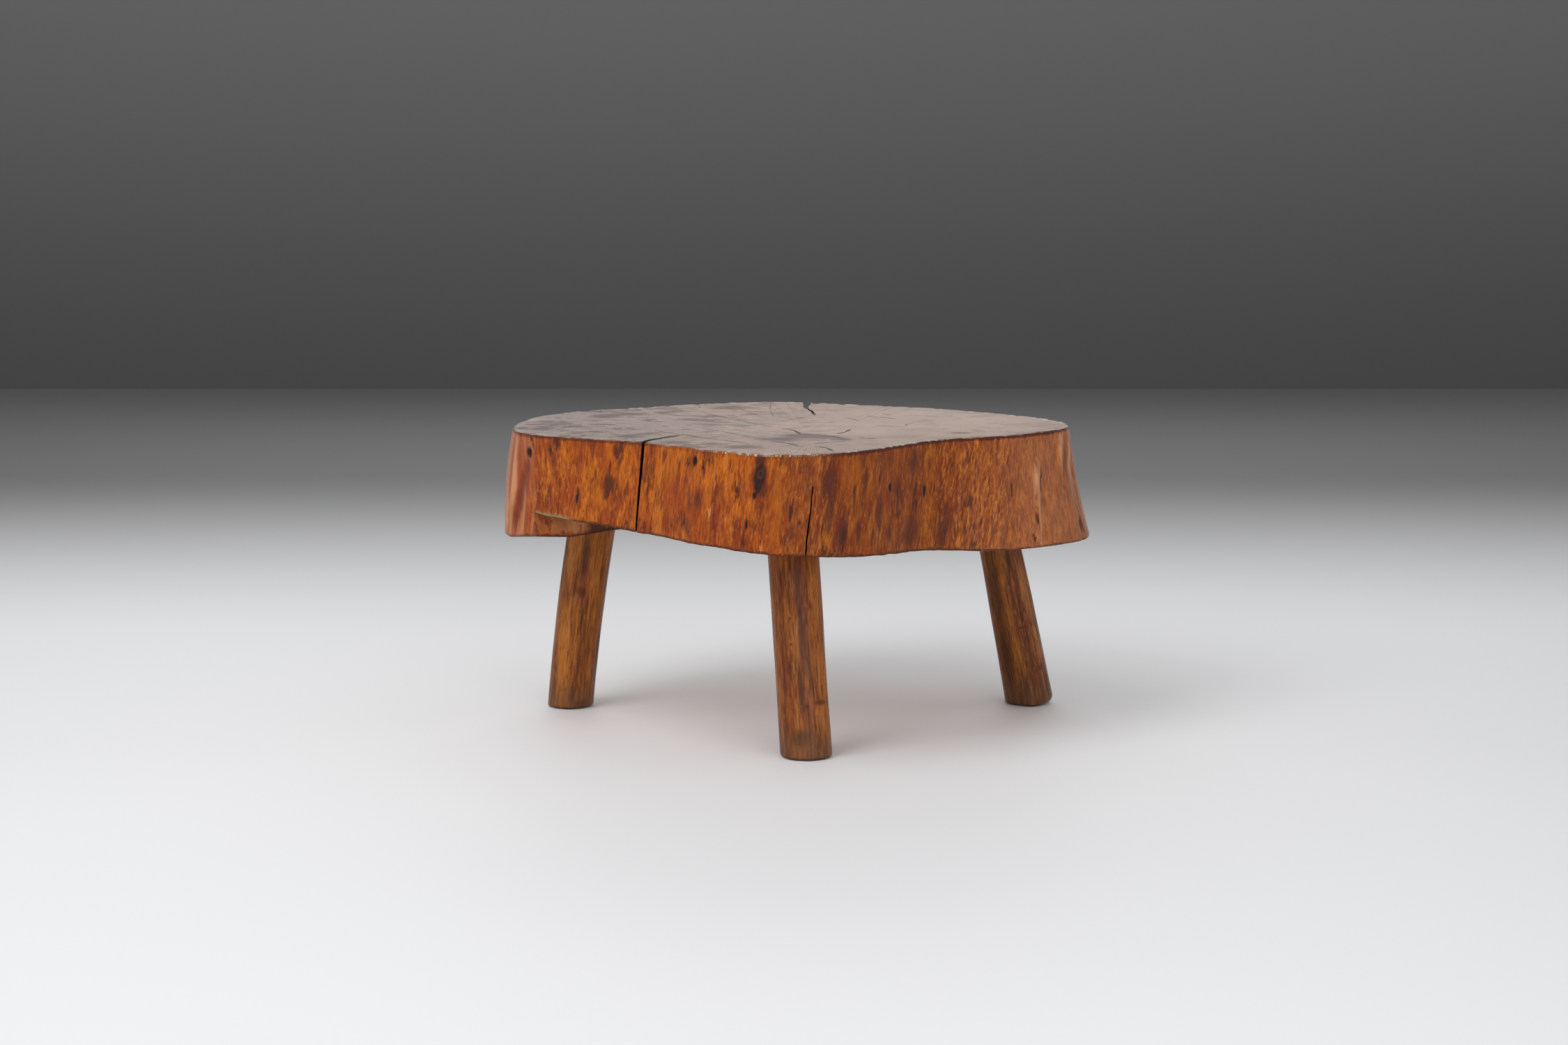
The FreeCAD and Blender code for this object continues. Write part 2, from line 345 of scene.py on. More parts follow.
def in_grain(points):
    """Wall points laid on a round trunk and unwound from the spiral of the grain."""
    plan = points[:, :2] / np.linalg.norm(points[:, :2], axis=1, keepdims=True) * TRUNK_RADIUS
    spiral = SPIRAL + RIGHT_SPIRAL * smooth_step(points[:, 0], *RIGHT_SPIRAL_ENDS)
    turn = -spiral * (points[:, 2] - MIDDLE_HEIGHT)
    x = plan[:, 0] * np.cos(turn) - plan[:, 1] * np.sin(turn)
    y = plan[:, 0] * np.sin(turn) + plan[:, 1] * np.cos(turn)
    return np.stack([x, y, points[:, 2]], axis=1)


def one_in_grain(place):
    return in_grain(np.array([place]))[0]


def line_distance(points, start, end):
    """How far each point lies from a straight line between two places."""
    start, along = np.array(start), np.array(end) - np.array(start)
    share = np.clip((points - start) @ along / (along @ along), 0, 1)[:, None]
    return np.linalg.norm(points - start - along * share, axis=1)


def smooth_step(value, start, end):
    share = np.clip((value - start) / (end - start), 0, 1)
    return share * share * (3 - 2 * share)


# Knots and holes in the wall: pixel, how wide and deep the pit is, and how high its collar stands
KNOTS = (
    ((1090, 684), 0.0075, 0.0030, 0.0016),
    ((997, 662), 0.0032, 0.0045, 0.0008),
    ((759.5, 650), 0.0032, 0.0040, 0.0004),
    ((828, 713), 0.0020, 0.0022, 0.0),
    ((1071, 755), 0.0020, 0.0020, 0.0),
    ((1326, 705), 0.0022, 0.0022, 0.0),
    ((1278, 700), 0.0022, 0.0022, 0.0),
    ((1312.6, 725), 0.0026, 0.0022, 0.0),
    ((1146, 754), 0.0022, 0.0016, 0.0),
    ((874, 697), 0.0060, 0.0014, 0.0),
    ((887, 645), 0.0050, 0.0012, 0.0),
)
KNOT_STRETCH = 1.9
PIT_STEEPNESS = 1.3
COLLAR_AT = 1.6
COLLAR_SPREAD = 0.8

# Ridges and furrows that run down the wall: the pixels of their ends, how wide they are and how far they
# stand out
RIDGES = (
    ((1521, 622), (1521, 700), 0.0040, 0.0028),
    ((1528, 628), (1528, 700), 0.0030, -0.0030),
    ((1487, 672), (1490, 772), 0.0045, 0.0026),
    ((1497, 690), (1498, 770), 0.0050, -0.0022),
    ((1470, 640), (1462, 772), 0.0090, -0.0018),
    ((757, 664), (742, 740), 0.0060, -0.0018),
    ((746, 636), (731, 740), 0.0050, 0.0014),
    ((1208, 655), (1196, 788), 0.0040, -0.0014),
    ((1168, 650), (1158, 700), 0.0030, -0.0010),
    ((1322, 640), (1300, 780), 0.0080, -0.0014),
    ((1393, 640), (1372, 776), 0.0100, 0.0014),
    ((1537, 668), (1545, 715), 0.0160, -0.0026),
    ((1530, 624), (1532, 650), 0.0110, 0.0016),
)

# The wall's grain: how far each noise stands out, its cells per metre and its seed
WALL_GRAIN = (
    (0.0016, (13, 13, 5), 3.7),
    (0.0011, (42, 42, 5), 11.3),
    (0.00065, (110, 110, 10), 23.9),
    (0.00045, (230, 230, 22), 41.1),
)


def wall_relief(points, knots, ridges):
    """How far the peeled wall stands out of its smooth form."""
    relief = layered(in_grain(points), WALL_GRAIN)
    for place, width, depth, collar in knots:
        away = points - np.array(place)
        away[:, 2] /= KNOT_STRETCH
        distance = np.linalg.norm(away, axis=1) / width
        relief += collar * np.exp(-((distance - COLLAR_AT) ** 2) / COLLAR_SPREAD)
        relief -= depth * np.exp(-(distance**2) * PIT_STEEPNESS)
    for start, end, width, height in ridges:
        distance = line_distance(points, start, end) / width
        relief += height * np.exp(-(distance**2))
    return relief


def left_foot_rise(places):
    """How far the wall's foot rises at the left end, towards the front."""
    rise = LEFT_FOOT_SLOPE * np.clip(LEFT_FOOT_FRONT - places[..., 1], 0, None)
    return rise * smooth_step(-places[..., 0], -LEFT_FOOT_ENDS[0], -LEFT_FOOT_ENDS[1])


def wall_loops():
    """The smooth wall as loops of points, lowest first, and the way that each point faces."""
    outline = trunk_outlines()
    turns = np.linspace(0, math.pi / 2, ROUND_ROWS + 1)
    low, high = UNDERSIDE + FOOT_ROUND, TABLE_HEIGHT - RIM_ROUND
    rows = [
        (UNDERSIDE + FOOT_ROUND * (1 - math.cos(turn)), FOOT_ROUND * (1 - math.sin(turn)))
        for turn in turns
    ]
    rows += [(height, 0.0) for height in np.linspace(low, high, WALL_ROWS)[1:-1]]
    rows += [
        (high + RIM_ROUND * math.sin(turn), RIM_ROUND * (1 - math.cos(turn))) for turn in turns
    ]
    loops, facing = [], []
    for height, inset in rows:
        loop = outline(height)
        out = outward(loop)
        loops.append(np.column_stack([loop - out * inset, np.full(len(loop), height)]))
        facing.append(out)
    return np.array(loops), np.array(facing)


def wall_surface(loops):
    """The smooth surface that the photograph's pixels are cast on."""
    smooth = closed_tube("smooth_slice", loops)
    surface = BVHTree.FromObject(smooth, bpy.context.evaluated_depsgraph_get())
    bpy.data.objects.remove(smooth)
    return surface


def trunk_slice(loops, facing, surface, material):
    """The slice before it is cut: the wall with its relief, closed over the top and the underside."""
    knots = [(on_surface(surface, pixel)[0], *sizes) for pixel, *sizes in KNOTS]
    ridges = [
        (on_surface(surface, start)[0], on_surface(surface, end)[0], width, height)
        for start, end, width, height in RIDGES
    ]
    relief = wall_relief(loops.reshape(-1, 3), knots, ridges).reshape(loops.shape[:2])
    loops[:, :, :2] += facing * relief[:, :, None]
    rim = loops[-1]
    chips = np.clip(field(rim, (150, 150, 1), 61.0) - RIM_CHIP_START, 0, None) * RIM_CHIP
    chips += np.clip(field(rim, (30, 30, 1), 67.0), 0, None) * RIM_WEAR
    near_rim = np.clip(1 - (TABLE_HEIGHT - loops[:, :, 2]) / RIM_WEAR_REACH, 0, 1)
    loops[:, :, 2] -= chips * near_rim**2
    rings = []
    for share in TOP_RING_SHARES:
        ring = loops[-1].copy()
        ring[:, 2] += chips * (1 - smooth_step(share, *TOP_SINK_SHARES))
        ring[:, :2] = PITH + (ring[:, :2] - PITH) * share
        ring[:, 2] -= TOP_SINK + TOP_SINK * field(ring, (14, 14, 1), 7.7)
        rings.append(ring)
    bases = [loops[0] * np.array((share, share, 1)) for share in BASE_RING_SHARES]
    loops = np.concatenate([bases[::-1], loops, rings])
    loops = np.clip(
        loops, (cad_low.x, cad_low.y, UNDERSIDE), (cad_high.x, cad_high.y, TABLE_HEIGHT)
    )
    loops[:, :, 2] += left_foot_rise(loops) * (TABLE_HEIGHT - loops[:, :, 2]) / SLAB_THICKNESS
    return closed_tube("tree_slice", loops, material)


# The felling cut's grain, as the wall's, and how soon it starts where the cut leaves the flat
CUT_GRAIN = ((0.0009, (55, 55, 1), 5.2), (0.0006, (140, 90, 1), 17.4))
CUT_FADE = 0.004

# The felling block's fineness, and how far it runs to the front and down
BLOCK_SPACING = (0.0028, 0.0045, 0.0022)
BLOCK_REACH_SHARE = 1.25
BLOCK_DEPTH = 0.02

# The fraying of the torn step: how far back it starts, how deep its strands and swells are, how far it
# reaches and how much shorter its noise is upward than across
FRAY_START = 0.0015
FRAY_STRANDS = 0.0035
FRAY_SWELLS = 0.0020
FRAY_REACH = 0.006
FRAY_UPWARD_SHARE = 0.16


def wood_gone(x):
    """How much wood the felling cut took from below at each x."""
    return np.interp(x, *FELLING_CUT.T)


def cut_height(plan):
    """The height of the rising felling cut over points seen from above."""
    gone = wood_gone(plan[:, 0])
    level = np.column_stack([plan, np.zeros(len(plan))])
    return UNDERSIDE + gone + layered(level, CUT_GRAIN) * smooth_step(gone, 0, CUT_FADE)


def step_line(x):
    """How far back the torn step stands at each x."""
    return np.interp(x, *STEP_LINE.T)


def edge_height(plan):
    """The height of the slice's lower edge over points seen from above."""
    in_front = plan[:, 1] < step_line(plan[:, 0])
    in_front &= plan[:, 0] > STEP_ENDS[0]
    return np.where(in_front, cut_height(plan), UNDERSIDE + left_foot_rise(plan))


def is_torn(places):
    """1 for the points of the torn step, 0 for others."""
    behind = places[:, 1] - step_line(places[:, 0])
    below = places[:, 2] < cut_height(places[:, :2]) - TORN_MARGIN
    right = places[:, 0] > STEP_ENDS[0]
    return (right & below & (behind > 0) & (behind < TORN_DEPTH)).astype(float)


def felling_block(material):
    """The wood that the felling took: a block under the rising cut, with the torn step as its back."""
    spacing_x, spacing_y, spacing_z = BLOCK_SPACING
    front = -HALF_SIZE[1] * BLOCK_REACH_SHARE
    low = UNDERSIDE - BLOCK_DEPTH
    xs = np.linspace(*STEP_ENDS, round((STEP_ENDS[1] - STEP_ENDS[0]) / spacing_x))
    back = step_line(xs)
    count = round((back.max() - front) / spacing_y)
    share = np.linspace(0, 1, count)
    plan = np.stack(
        [np.repeat(xs, count).reshape(-1, count), front + np.outer(back - front, share)], axis=-1
    )
    top = np.dstack([plan, cut_height(plan.reshape(-1, 2)).reshape(plan.shape[:2])])
    index = np.arange(top[:, :, 0].size).reshape(plan.shape[:2])
    faces = np.stack([index[:-1, :-1], index[1:, :-1], index[1:, 1:], index[:-1, 1:]], axis=-1)
    faces = faces.reshape(-1, 4).tolist()
    points = top.reshape(-1, 3)
    rim = np.concatenate([index[:-1, 0], index[-1, :-1], index[:0:-1, -1], index[0, :0:-1]])
    rows = round(FELLING_CUT[0, 1] / spacing_z)
    above = rim
    for row in range(1, rows + 1):
        loop = points[rim].copy()
        loop[:, 2] += (low - loop[:, 2]) * row / rows
        below = len(points) + np.arange(len(rim))
        points = np.vstack([points, loop])
        quads = np.stack([above, below, np.roll(below, -1), np.roll(above, -1)], axis=-1)
        faces += quads.tolist()
        above = below
    faces.append(above[::-1].tolist())
    torn = points.copy()
    torn[:, 2] *= FRAY_UPWARD_SHARE
    fray = FRAY_STRANDS * np.abs(field(torn, (120, 120, 120), 31.5))
    fray += FRAY_SWELLS * field(torn, (45, 45, 45), 2.1)
    near = np.exp(-np.abs(points[:, 1] - step_line(points[:, 0])) / FRAY_REACH)
    points[:, 1] += (FRAY_START + fray) * near
    return make_object("felling_block", points, faces, material)


# The checks: their routes over the top as pixels with widths in metres, how low and high they reach, and
# how much of their width is left at their lowest point.
Check = namedtuple("Check", "route low high foot_share seed lean", defaults=(CHECK_LEAN,))
OVERRUN = 0.006
BELOW = UNDERSIDE - OVERRUN
ABOVE = TABLE_HEIGHT + OVERRUN
DEEP_CHECKS = (
    Check(
        ((1158.8, 574.6, 0.0150), (1158.2, 577.0, 0.0124), (1156.2, 585.0, 0.0052),
         (1160.5, 587.6, 0.0018), (1164.6, 589.8, 0.0036), (1169.5, 595.5, 0.0003)),
        BELOW, ABOVE, 0.8, 1.0,
    ),
    Check(
        ((920.0, 640.0, 0.0050), (922.5, 634.8, 0.0048), (931.0, 631.6, 0.0054), (948.0, 628.8, 0.0040),
         (975.0, 624.4, 0.0010)),
        BELOW, ABOVE, 0.35, 4.0,
    ),
)
FRONT_CHECK = Check(
    ((1172, 662.0, 0.0026), (1172, 655.0, 0.0022), (1172, 648.0, 0.0003)),
    BELOW, 0.340, 1.6, 7.0, 0.0155,
)
FINE_CHECKS = (
    ((975, 624.4, 0.0010), (984, 624.2, 0.0009), (1004, 626.8, 0.0004)),
    ((1123, 614.8, 0.0004), (1132, 616.0, 0.0014), (1140, 617.6, 0.0020), (1149, 623.0, 0.0006)),
    ((1150, 622.4, 0.0004), (1172, 623.0, 0.0010), (1192, 625.4, 0.0012), (1216, 630.6, 0.0004)),
    ((1201, 622.4, 0.0004), (1213, 619.6, 0.0013), (1220.6, 616.0, 0.0005)),
    ((1108, 633.0, 0.0004), (1129, 635.4, 0.0014), (1147, 639.6, 0.0004)),
    ((1168, 636.6, 0.0004), (1192, 634.4, 0.0012), (1216, 632.8, 0.0004)),
    ((1175, 640.2, 0.0004), (1188, 643.2, 0.0014), (1195, 647.0, 0.0005)),
    ((1231, 627.6, 0.0005), (1243, 628.6, 0.0014), (1256, 629.2, 0.0005)),
)
FINE_DEPTH = 0.007
FINE_FOOT_SHARE = 0.3
FINE_SEED = 20.0

# How a check's two sides sway together and its width swells, as the wall's grain, and its blade's fineness
CHECK_SWAY = ((0.0012, (60, 60, 22), 0), (0.0005, (200, 200, 60), 9))
CHECK_SWELL = ((0.25, (90, 90, 40), 5),)
BLADE_STEP = 0.003
BLADE_ROW = 0.004


def check_blade(check, material):
    """The empty space of a check, as a thin wavy wedge."""
    pixels = np.array(check.route)
    places = np.array([on_top(pixel)[:2] for pixel in pixels])
    length = np.concatenate([[0], np.cumsum(np.linalg.norm(np.diff(places, axis=0), axis=1))])
    along = np.linspace(0, length[-1], max(6, round(length[-1] / BLADE_STEP)))
    line = np.column_stack([np.interp(along, length, places[:, axis]) for axis in (0, 1)])
    width = np.interp(along, length, pixels[:, 2])
    heading = places[-1] - places[0]
    across = np.array((-heading[1], heading[0])) / np.linalg.norm(heading)
    rows = max(3, round((check.high - check.low) / BLADE_ROW))
    loops = []
    for height in np.linspace(check.low, check.high, rows):
        level = np.column_stack([line, np.full(len(line), height)])
        sway = layered(level, CHECK_SWAY, check.seed)
        drop = check.lean * (TABLE_HEIGHT - height) / SLAB_THICKNESS
        share = (height - check.low) / (check.high - check.low)
        half = width / 2 * (check.foot_share + (1 - check.foot_share) * share)
        half *= 1 + layered(level, CHECK_SWELL, check.seed)
        middle = line + across * (sway + drop)[:, None]
        right = middle - across * half[:, None]
        left = middle + across * half[:, None]
        loop = np.vstack([right, left[::-1]])
        loops.append(np.column_stack([loop, np.full(len(loop), height)]))
    return closed_tube("check_blade", np.array(loops), material, ladder=True)


# The legs

Leg = namedtuple("Leg", "name foot shoulder axis solid")
SHOULDER_GAP = 0.0002
FOOT_WEAR = 0.0042
FOOT_WAVER_SHARE = 0.5
RIGHT_FOOT_WEAR = 0.0085
LEG_COLUMNS = 96
LEG_ROWS = 80
LEG_ROWS_START_SHARE = 0.055
FOOT_ROW_SHARES = (0.0, 0.001, 0.003, 0.006, 0.010, 0.015, 0.021, 0.028, 0.036, 0.045)
CAP_SHARES = (0.9, 0.7, 0.4, 0.1)
RADIUS_ROWS = 20
RADIUS_CLEARANCE = 0.006
BAR_ROWS = 5

# The plug of the pole that stays on the tenon, and how far its cutting bar clears the tenon
PLUG_LENGTH = 0.012
BAR_CLEARANCE = 0.0004
BAR_OVERRUN = 0.01

# The poles' flutes and grain, as the wall's, on a pole of even radius
POLE_GRAIN = (
    (0.0010, (38, 38, 5), 0),
    (0.0006, (110, 110, 7), 3),
    (0.00035, (260, 260, 18), 8),
)
POLE_GRAIN_RADIUS = 0.03

# What stands out of or into a leg's side: leg, pixel, how wide, how tall and how far
LEG_KNOTS = (
    ("left", (834, 851), 0.007, 0.012, 0.0012),
    ("left", (836, 820), 0.006, 0.030, -0.0006),
    ("front", (1133, 886), 0.005, 0.004, -0.0014),
    ("front", (1138, 905), 0.0045, 0.018, 0.0010),
    ("front", (1141, 950), 0.0045, 0.030, 0.0008),
    ("front", (1146, 1010), 0.0045, 0.030, 0.0006),
    ("front", (1152, 930), 0.0050, 0.050, -0.0008),
    ("front", (1135, 925), 0.004, 0.004, -0.0008),
    ("front", (1176, 1008), 0.004, 0.004, 0.0008),
    ("right", (1493, 957), 0.006, 0.007, 0.0010),
    ("right", (1466, 901), 0.005, 0.006, 0.0006),
)


def find_legs():
    """Each leg's foot from the record's mounts, its shoulder and axis, and its solid's surface."""
    feet = {mount["name"]: Vector(mount["pos_m"]) for mount in frame["record"]["mounts"]}
    graph = bpy.context.evaluated_depsgraph_get()
    legs = []
    for name, shares in SHOULDER_SHARES.items():
        plan = np.array(shares) * HALF_SIZE
        gone = wood_gone(plan[0]) if name == "front" else 0.0
        shoulder = Vector((*plan, UNDERSIDE + gone))
        foot = feet[name + "_foot"]
        solid = BVHTree.FromObject(frame["nodes"][name + "_leg"], graph)
        legs.append(Leg(name, foot, shoulder, (shoulder - foot).normalized(), solid))
    return legs


def round_bar(name, leg, radius, start, end, material):
    """A round bar along the leg's axis, its ends measured up from the shoulder."""
    side = UP.cross(leg.axis).normalized()
    other = leg.axis.cross(side)
    turns = np.linspace(0, 2 * math.pi, LEG_COLUMNS + 1)[:-1]
    loops = []
    for along in np.linspace(start, end, BAR_ROWS):
        middle = leg.shoulder + leg.axis * along
        loops.append([middle + (side * math.cos(t) + other * math.sin(t)) * radius for t in turns])
    return closed_tube(name, np.array(loops), material)


def pole_radii(leg, rays):
    """Heights up the solid pole, and how far out its side lies there along each ray."""
    heights = np.linspace(RADIUS_CLEARANCE, leg.shoulder.z - RADIUS_CLEARANCE, RADIUS_ROWS)
    radii = []
    for height in heights:
        middle = leg.foot + (leg.shoulder - leg.foot) * (height / leg.shoulder.z)
        radii.append([leg.solid.ray_cast(middle, Vector((*ray, 0)))[3] for ray in rays])
    return heights, np.array(radii)


def pole_relief(leg, points, rays, knots):
    """How far a pole's ring stands out of the solid's: its flutes and knots, less the wear of its foot."""
    height = points[:, 2]
    local = np.column_stack([rays * POLE_GRAIN_RADIUS, height])
    seed = 13.0 * (1 + len(leg.name)) + leg.foot.x
    relief = layered(local, POLE_GRAIN, seed)
    for place, wide, tall, out in knots:
        away = (points - place) / np.array((wide, wide, tall))
        relief += out * np.exp(-(away**2).sum(axis=1))
    reach = np.full(LEG_COLUMNS, FOOT_WEAR)
    if leg.name == "right":
        reach += RIGHT_FOOT_WEAR * np.clip(rays[:, 0], 0, 1)
    wear = np.clip(1 - height / reach, 0, 1)
    worn = reach + FOOT_WEAR * FOOT_WAVER_SHARE * field(local, (40, 40, 0), seed + 5)
    return relief - worn * (1 - np.sqrt(1 - wear**2))


def pole(leg, material):
    """The leg's pole: its solid's outline with flutes, facets, knots and a worn foot."""
    turns = np.arange(LEG_COLUMNS) * 2 * math.pi / LEG_COLUMNS
    rays = np.column_stack([np.cos(turns), np.sin(turns)])
    heights, radii = pole_radii(leg, rays)
    foot, shoulder = np.array(leg.foot), np.array(leg.shoulder)[:2]
    knots = [
        (np.array(leg.solid.ray_cast(CAMERA_PLACE, photo_ray(pixel))[0]), wide, tall, out)
        for name, pixel, wide, tall, out in LEG_KNOTS
        if name == leg.name
    ]

    def ceiling(plan):
        """How high the pole reaches at points seen from above."""
        over = cut_height(plan) if leg.name == "front" else np.full(LEG_COLUMNS, UNDERSIDE)
        return over - SHOULDER_GAP

    def ring(share):
        """The ring of points at a share of the way up each column."""
        height = np.full(LEG_COLUMNS, leg.shoulder.z * share)
        for _ in range(2):
            up = (height / leg.shoulder.z)[:, None]
            middle = foot[:2] * (1 - up) + shoulder * up
            radius = np.array([np.interp(h, heights, radii[:, c]) for c, h in enumerate(height)])
            plan = middle + rays * radius[:, None]
            height = ceiling(plan) * share
        points = np.column_stack([plan, height])
        points[:, :2] += rays * pole_relief(leg, points, rays, knots)[:, None]
        return points

    shares = (*FOOT_ROW_SHARES, *np.linspace(LEG_ROWS_START_SHARE, 1, LEG_ROWS))
    loops = [ring(share) for share in shares]
    sole, head = loops[0], loops[-1]
    soles, heads = [], []
    for share in CAP_SHARES:
        soles.append(foot + (sole - foot) * share)
        plan = shoulder + (head[:, :2] - shoulder) * share
        heads.append(np.column_stack([plan, ceiling(plan)]))
    return closed_tube(leg.name + "_pole", np.array(soles[::-1] + loops + heads), material)


def solid_tenon(leg, material):
    """The solid leg's tenon with its saw kerf, and a plug of the pole below it."""
    mesh = frame["nodes"][leg.name + "_leg"].data.copy()
    shape = bmesh.new()
    shape.from_mesh(mesh)
    bmesh.ops.remove_doubles(shape, verts=shape.verts, dist=SOLID_WELD_REACH)
    shape.to_mesh(mesh)
    shape.free()
    mesh.materials.clear()
    mesh.materials.append(material)
    tenon = bpy.data.objects.new(leg.name + "_tenon", mesh)
    bpy.context.scene.collection.objects.link(tenon)
    radius, end = TENON_RADIUS + BAR_CLEARANCE, TENON_LENGTH + BAR_OVERRUN
    carve(tenon, round_bar("bar", leg, radius, -PLUG_LENGTH, end, material), "INTERSECT")
    return tenon


# Materials


def srgb(red, green, blue):
    """A colour given in 0 to 255 steps, as the shaders want it."""
    steps = np.array((red, green, blue)) / 255
    linear = np.where(steps <= 0.04045, steps / 12.92, ((steps + 0.055) / 1.055) ** 2.4)
    return (*linear.tolist(), 1.0)


Mark = namedtuple("Mark", "place size")
MARK_EDGE = 1.2


def grain_mark(surface, to_grain, x, y, wide, tall):
    """An oval mark along the grain, its size in pixels as the photograph shows it."""
    middle = on_surface(surface, (x, y))[0]
    left = to_grain(on_surface(surface, (x - 1, y))[0])
    right = to_grain(on_surface(surface, (x + 1, y))[0])
    across = np.linalg.norm((right - left)[:2]) / 2
    upward = (middle - CAMERA_PLACE).length / FOCAL_PIXELS
    size = np.array((wide / 2 * across, wide / 2 * across, tall / 2 * upward))
    return Mark(to_grain(middle), size)


class Look:
    """A material being made. Most calls add a node and give its output. begin, lay and streaks build up
    its colour."""

    def __init__(self, name):
        self.material = bpy.data.materials.new(name)
        self.material.use_nodes = True
        self.tree = self.material.node_tree
        self.tree.nodes.clear()
        self.where = self.add("TexCoord", output="Object")
        self.colour = None

    def add(self, kind, inputs=None, output=0, **settings):
        node = self.tree.nodes.new("ShaderNode" + kind)
        for key, value in settings.items():
            setattr(node, key, value)
        for key, value in (inputs or {}).items():
            if isinstance(value, bpy.types.NodeSocket):
                self.tree.links.new(value, node.inputs[key])
            else:
                node.inputs[key].default_value = value
        return node.outputs[output]

    def attribute(self, name):
        return self.add("Attribute", output="Fac", attribute_name=name)

    def math(self, operation, first, second=0.0, third=0.0):
        return self.add("Math", {0: first, 1: second, 2: third}, operation=operation)

    def plus(self, first, second):
        return self.math("ADD", first, second)

    def times(self, product, *factors):
        for factor in factors:
            product = self.math("MULTIPLY", product, factor)
        return product

    def ragged(self, value, torn_by, width):
        """The value, shifted by a noise by up to half the width either way."""
        return self.plus(value, self.math("MULTIPLY_ADD", torn_by, width, -width / 2))

    def vector(self, operation, first, second=(0, 0, 0), third=(0, 0, 0), **settings):
        return self.add("VectorMath", {0: first, 1: second, 2: third}, operation=operation, **settings)

    def split(self, vector):
        node = self.add("SeparateXYZ", {0: vector}).node
        return node.outputs[0], node.outputs[1], node.outputs[2]

    def join(self, x, y, z):
        return self.add("CombineXYZ", {0: x, 1: y, 2: z})

    def step(self, value, start, end, low=0.0, high=1.0):
        """Runs smoothly from low to high as the value goes from start to end."""
        inputs = {"Value": value, "From Min": start, "From Max": end, "To Min": low, "To Max": high}
        return self.add("MapRange", inputs, interpolation_type="SMOOTHSTEP")

    def noise(self, vector, stretch, detail=2.0, roughness=0.5, distortion=0.0, seed=0.0):
        """Noise with its cells per metre along x, y and z."""
        places = self.vector("MULTIPLY_ADD", vector, stretch, (seed, seed, seed))
        inputs = {
            "Vector": places,
            "Scale": 1.0,
            "Detail": detail,
            "Roughness": roughness,
            "Distortion": distortion,
        }
        return self.add("TexNoise", inputs)

    def off_mark(self, space, mark):
        """How far from a mark's middle a place of the space lies: 1 at the mark's edge."""
        shift = (-mark.place / mark.size).tolist()
        local = self.vector("MULTIPLY_ADD", space, (1 / mark.size).tolist(), shift)
        return self.vector("LENGTH", local, output="Value")

    def off_route(self, places, half_width):
        """For each stretch of a route, how far off it a place lies: 0 on it, 1 at the edge of its oval."""
        away = [self.vector("DISTANCE", self.where, place, output="Value") for place in places]
        stretches = []
        for number, (start, end) in enumerate(zip(places, places[1:])):
            length = (end - start).length
            edge = math.hypot(length, 2 * half_width) - length
            both = self.plus(away[number], away[number + 1])
            stretches.append(self.math("MULTIPLY_ADD", both, 1 / edge, -length / edge))
        return stretches

    def spots(self, distances, torn_by, raggedness, softness):
        """How much a place lies in one of the marks, with an edge torn by noise."""
        least = distances[0]
        for distance in distances[1:]:
            least = self.math("MINIMUM", least, distance)
        return self.step(self.ragged(least, torn_by, raggedness), MARK_EDGE, MARK_EDGE - softness)

    def mix(self, share, first, second):
        return self.add("Mix", {0: share, 6: first, 7: second}, output=2, data_type="RGBA")

    def begin(self, share, first, second):
        """Starts the colour between two, given in 0 to 255 steps."""
        self.colour = self.mix(share, srgb(*first), srgb(*second))

    def lay(self, share, strength, colour):
        """Lays another colour over it, as strong as the share times the strength."""
        self.colour = self.mix(self.times(share, strength), self.colour, srgb(*colour))

    def streaks(self, share, rows):
        """Lays streaks over it, each where its noise runs from a start to an end, at its own strength."""
        for torn_by, start, end, strength, colour in rows:
            self.lay(self.step(torn_by, start, end, 0.0, strength), share, colour)

    def finish(self, roughness, height, bump, coat, coat_roughness, specular=0.5, sheen=0.0):
        inputs = {
            "Base Color": self.colour,
            "Roughness": roughness,
            "Normal": self.add("Bump", {"Height": height, "Strength": 1.0, "Distance": bump}),
            "Coat Weight": coat,
            "Coat Roughness": coat_roughness,
            "Specular IOR Level": specular,
            "Sheen Weight": sheen,
            "Sheen Roughness": 0.3,
        }
        return self.show(self.add("BsdfPrincipled", inputs))

    def show(self, shader):
        node = self.tree.nodes.new("ShaderNodeOutputMaterial")
        self.tree.links.new(shader, node.inputs["Surface"])
        return self.material


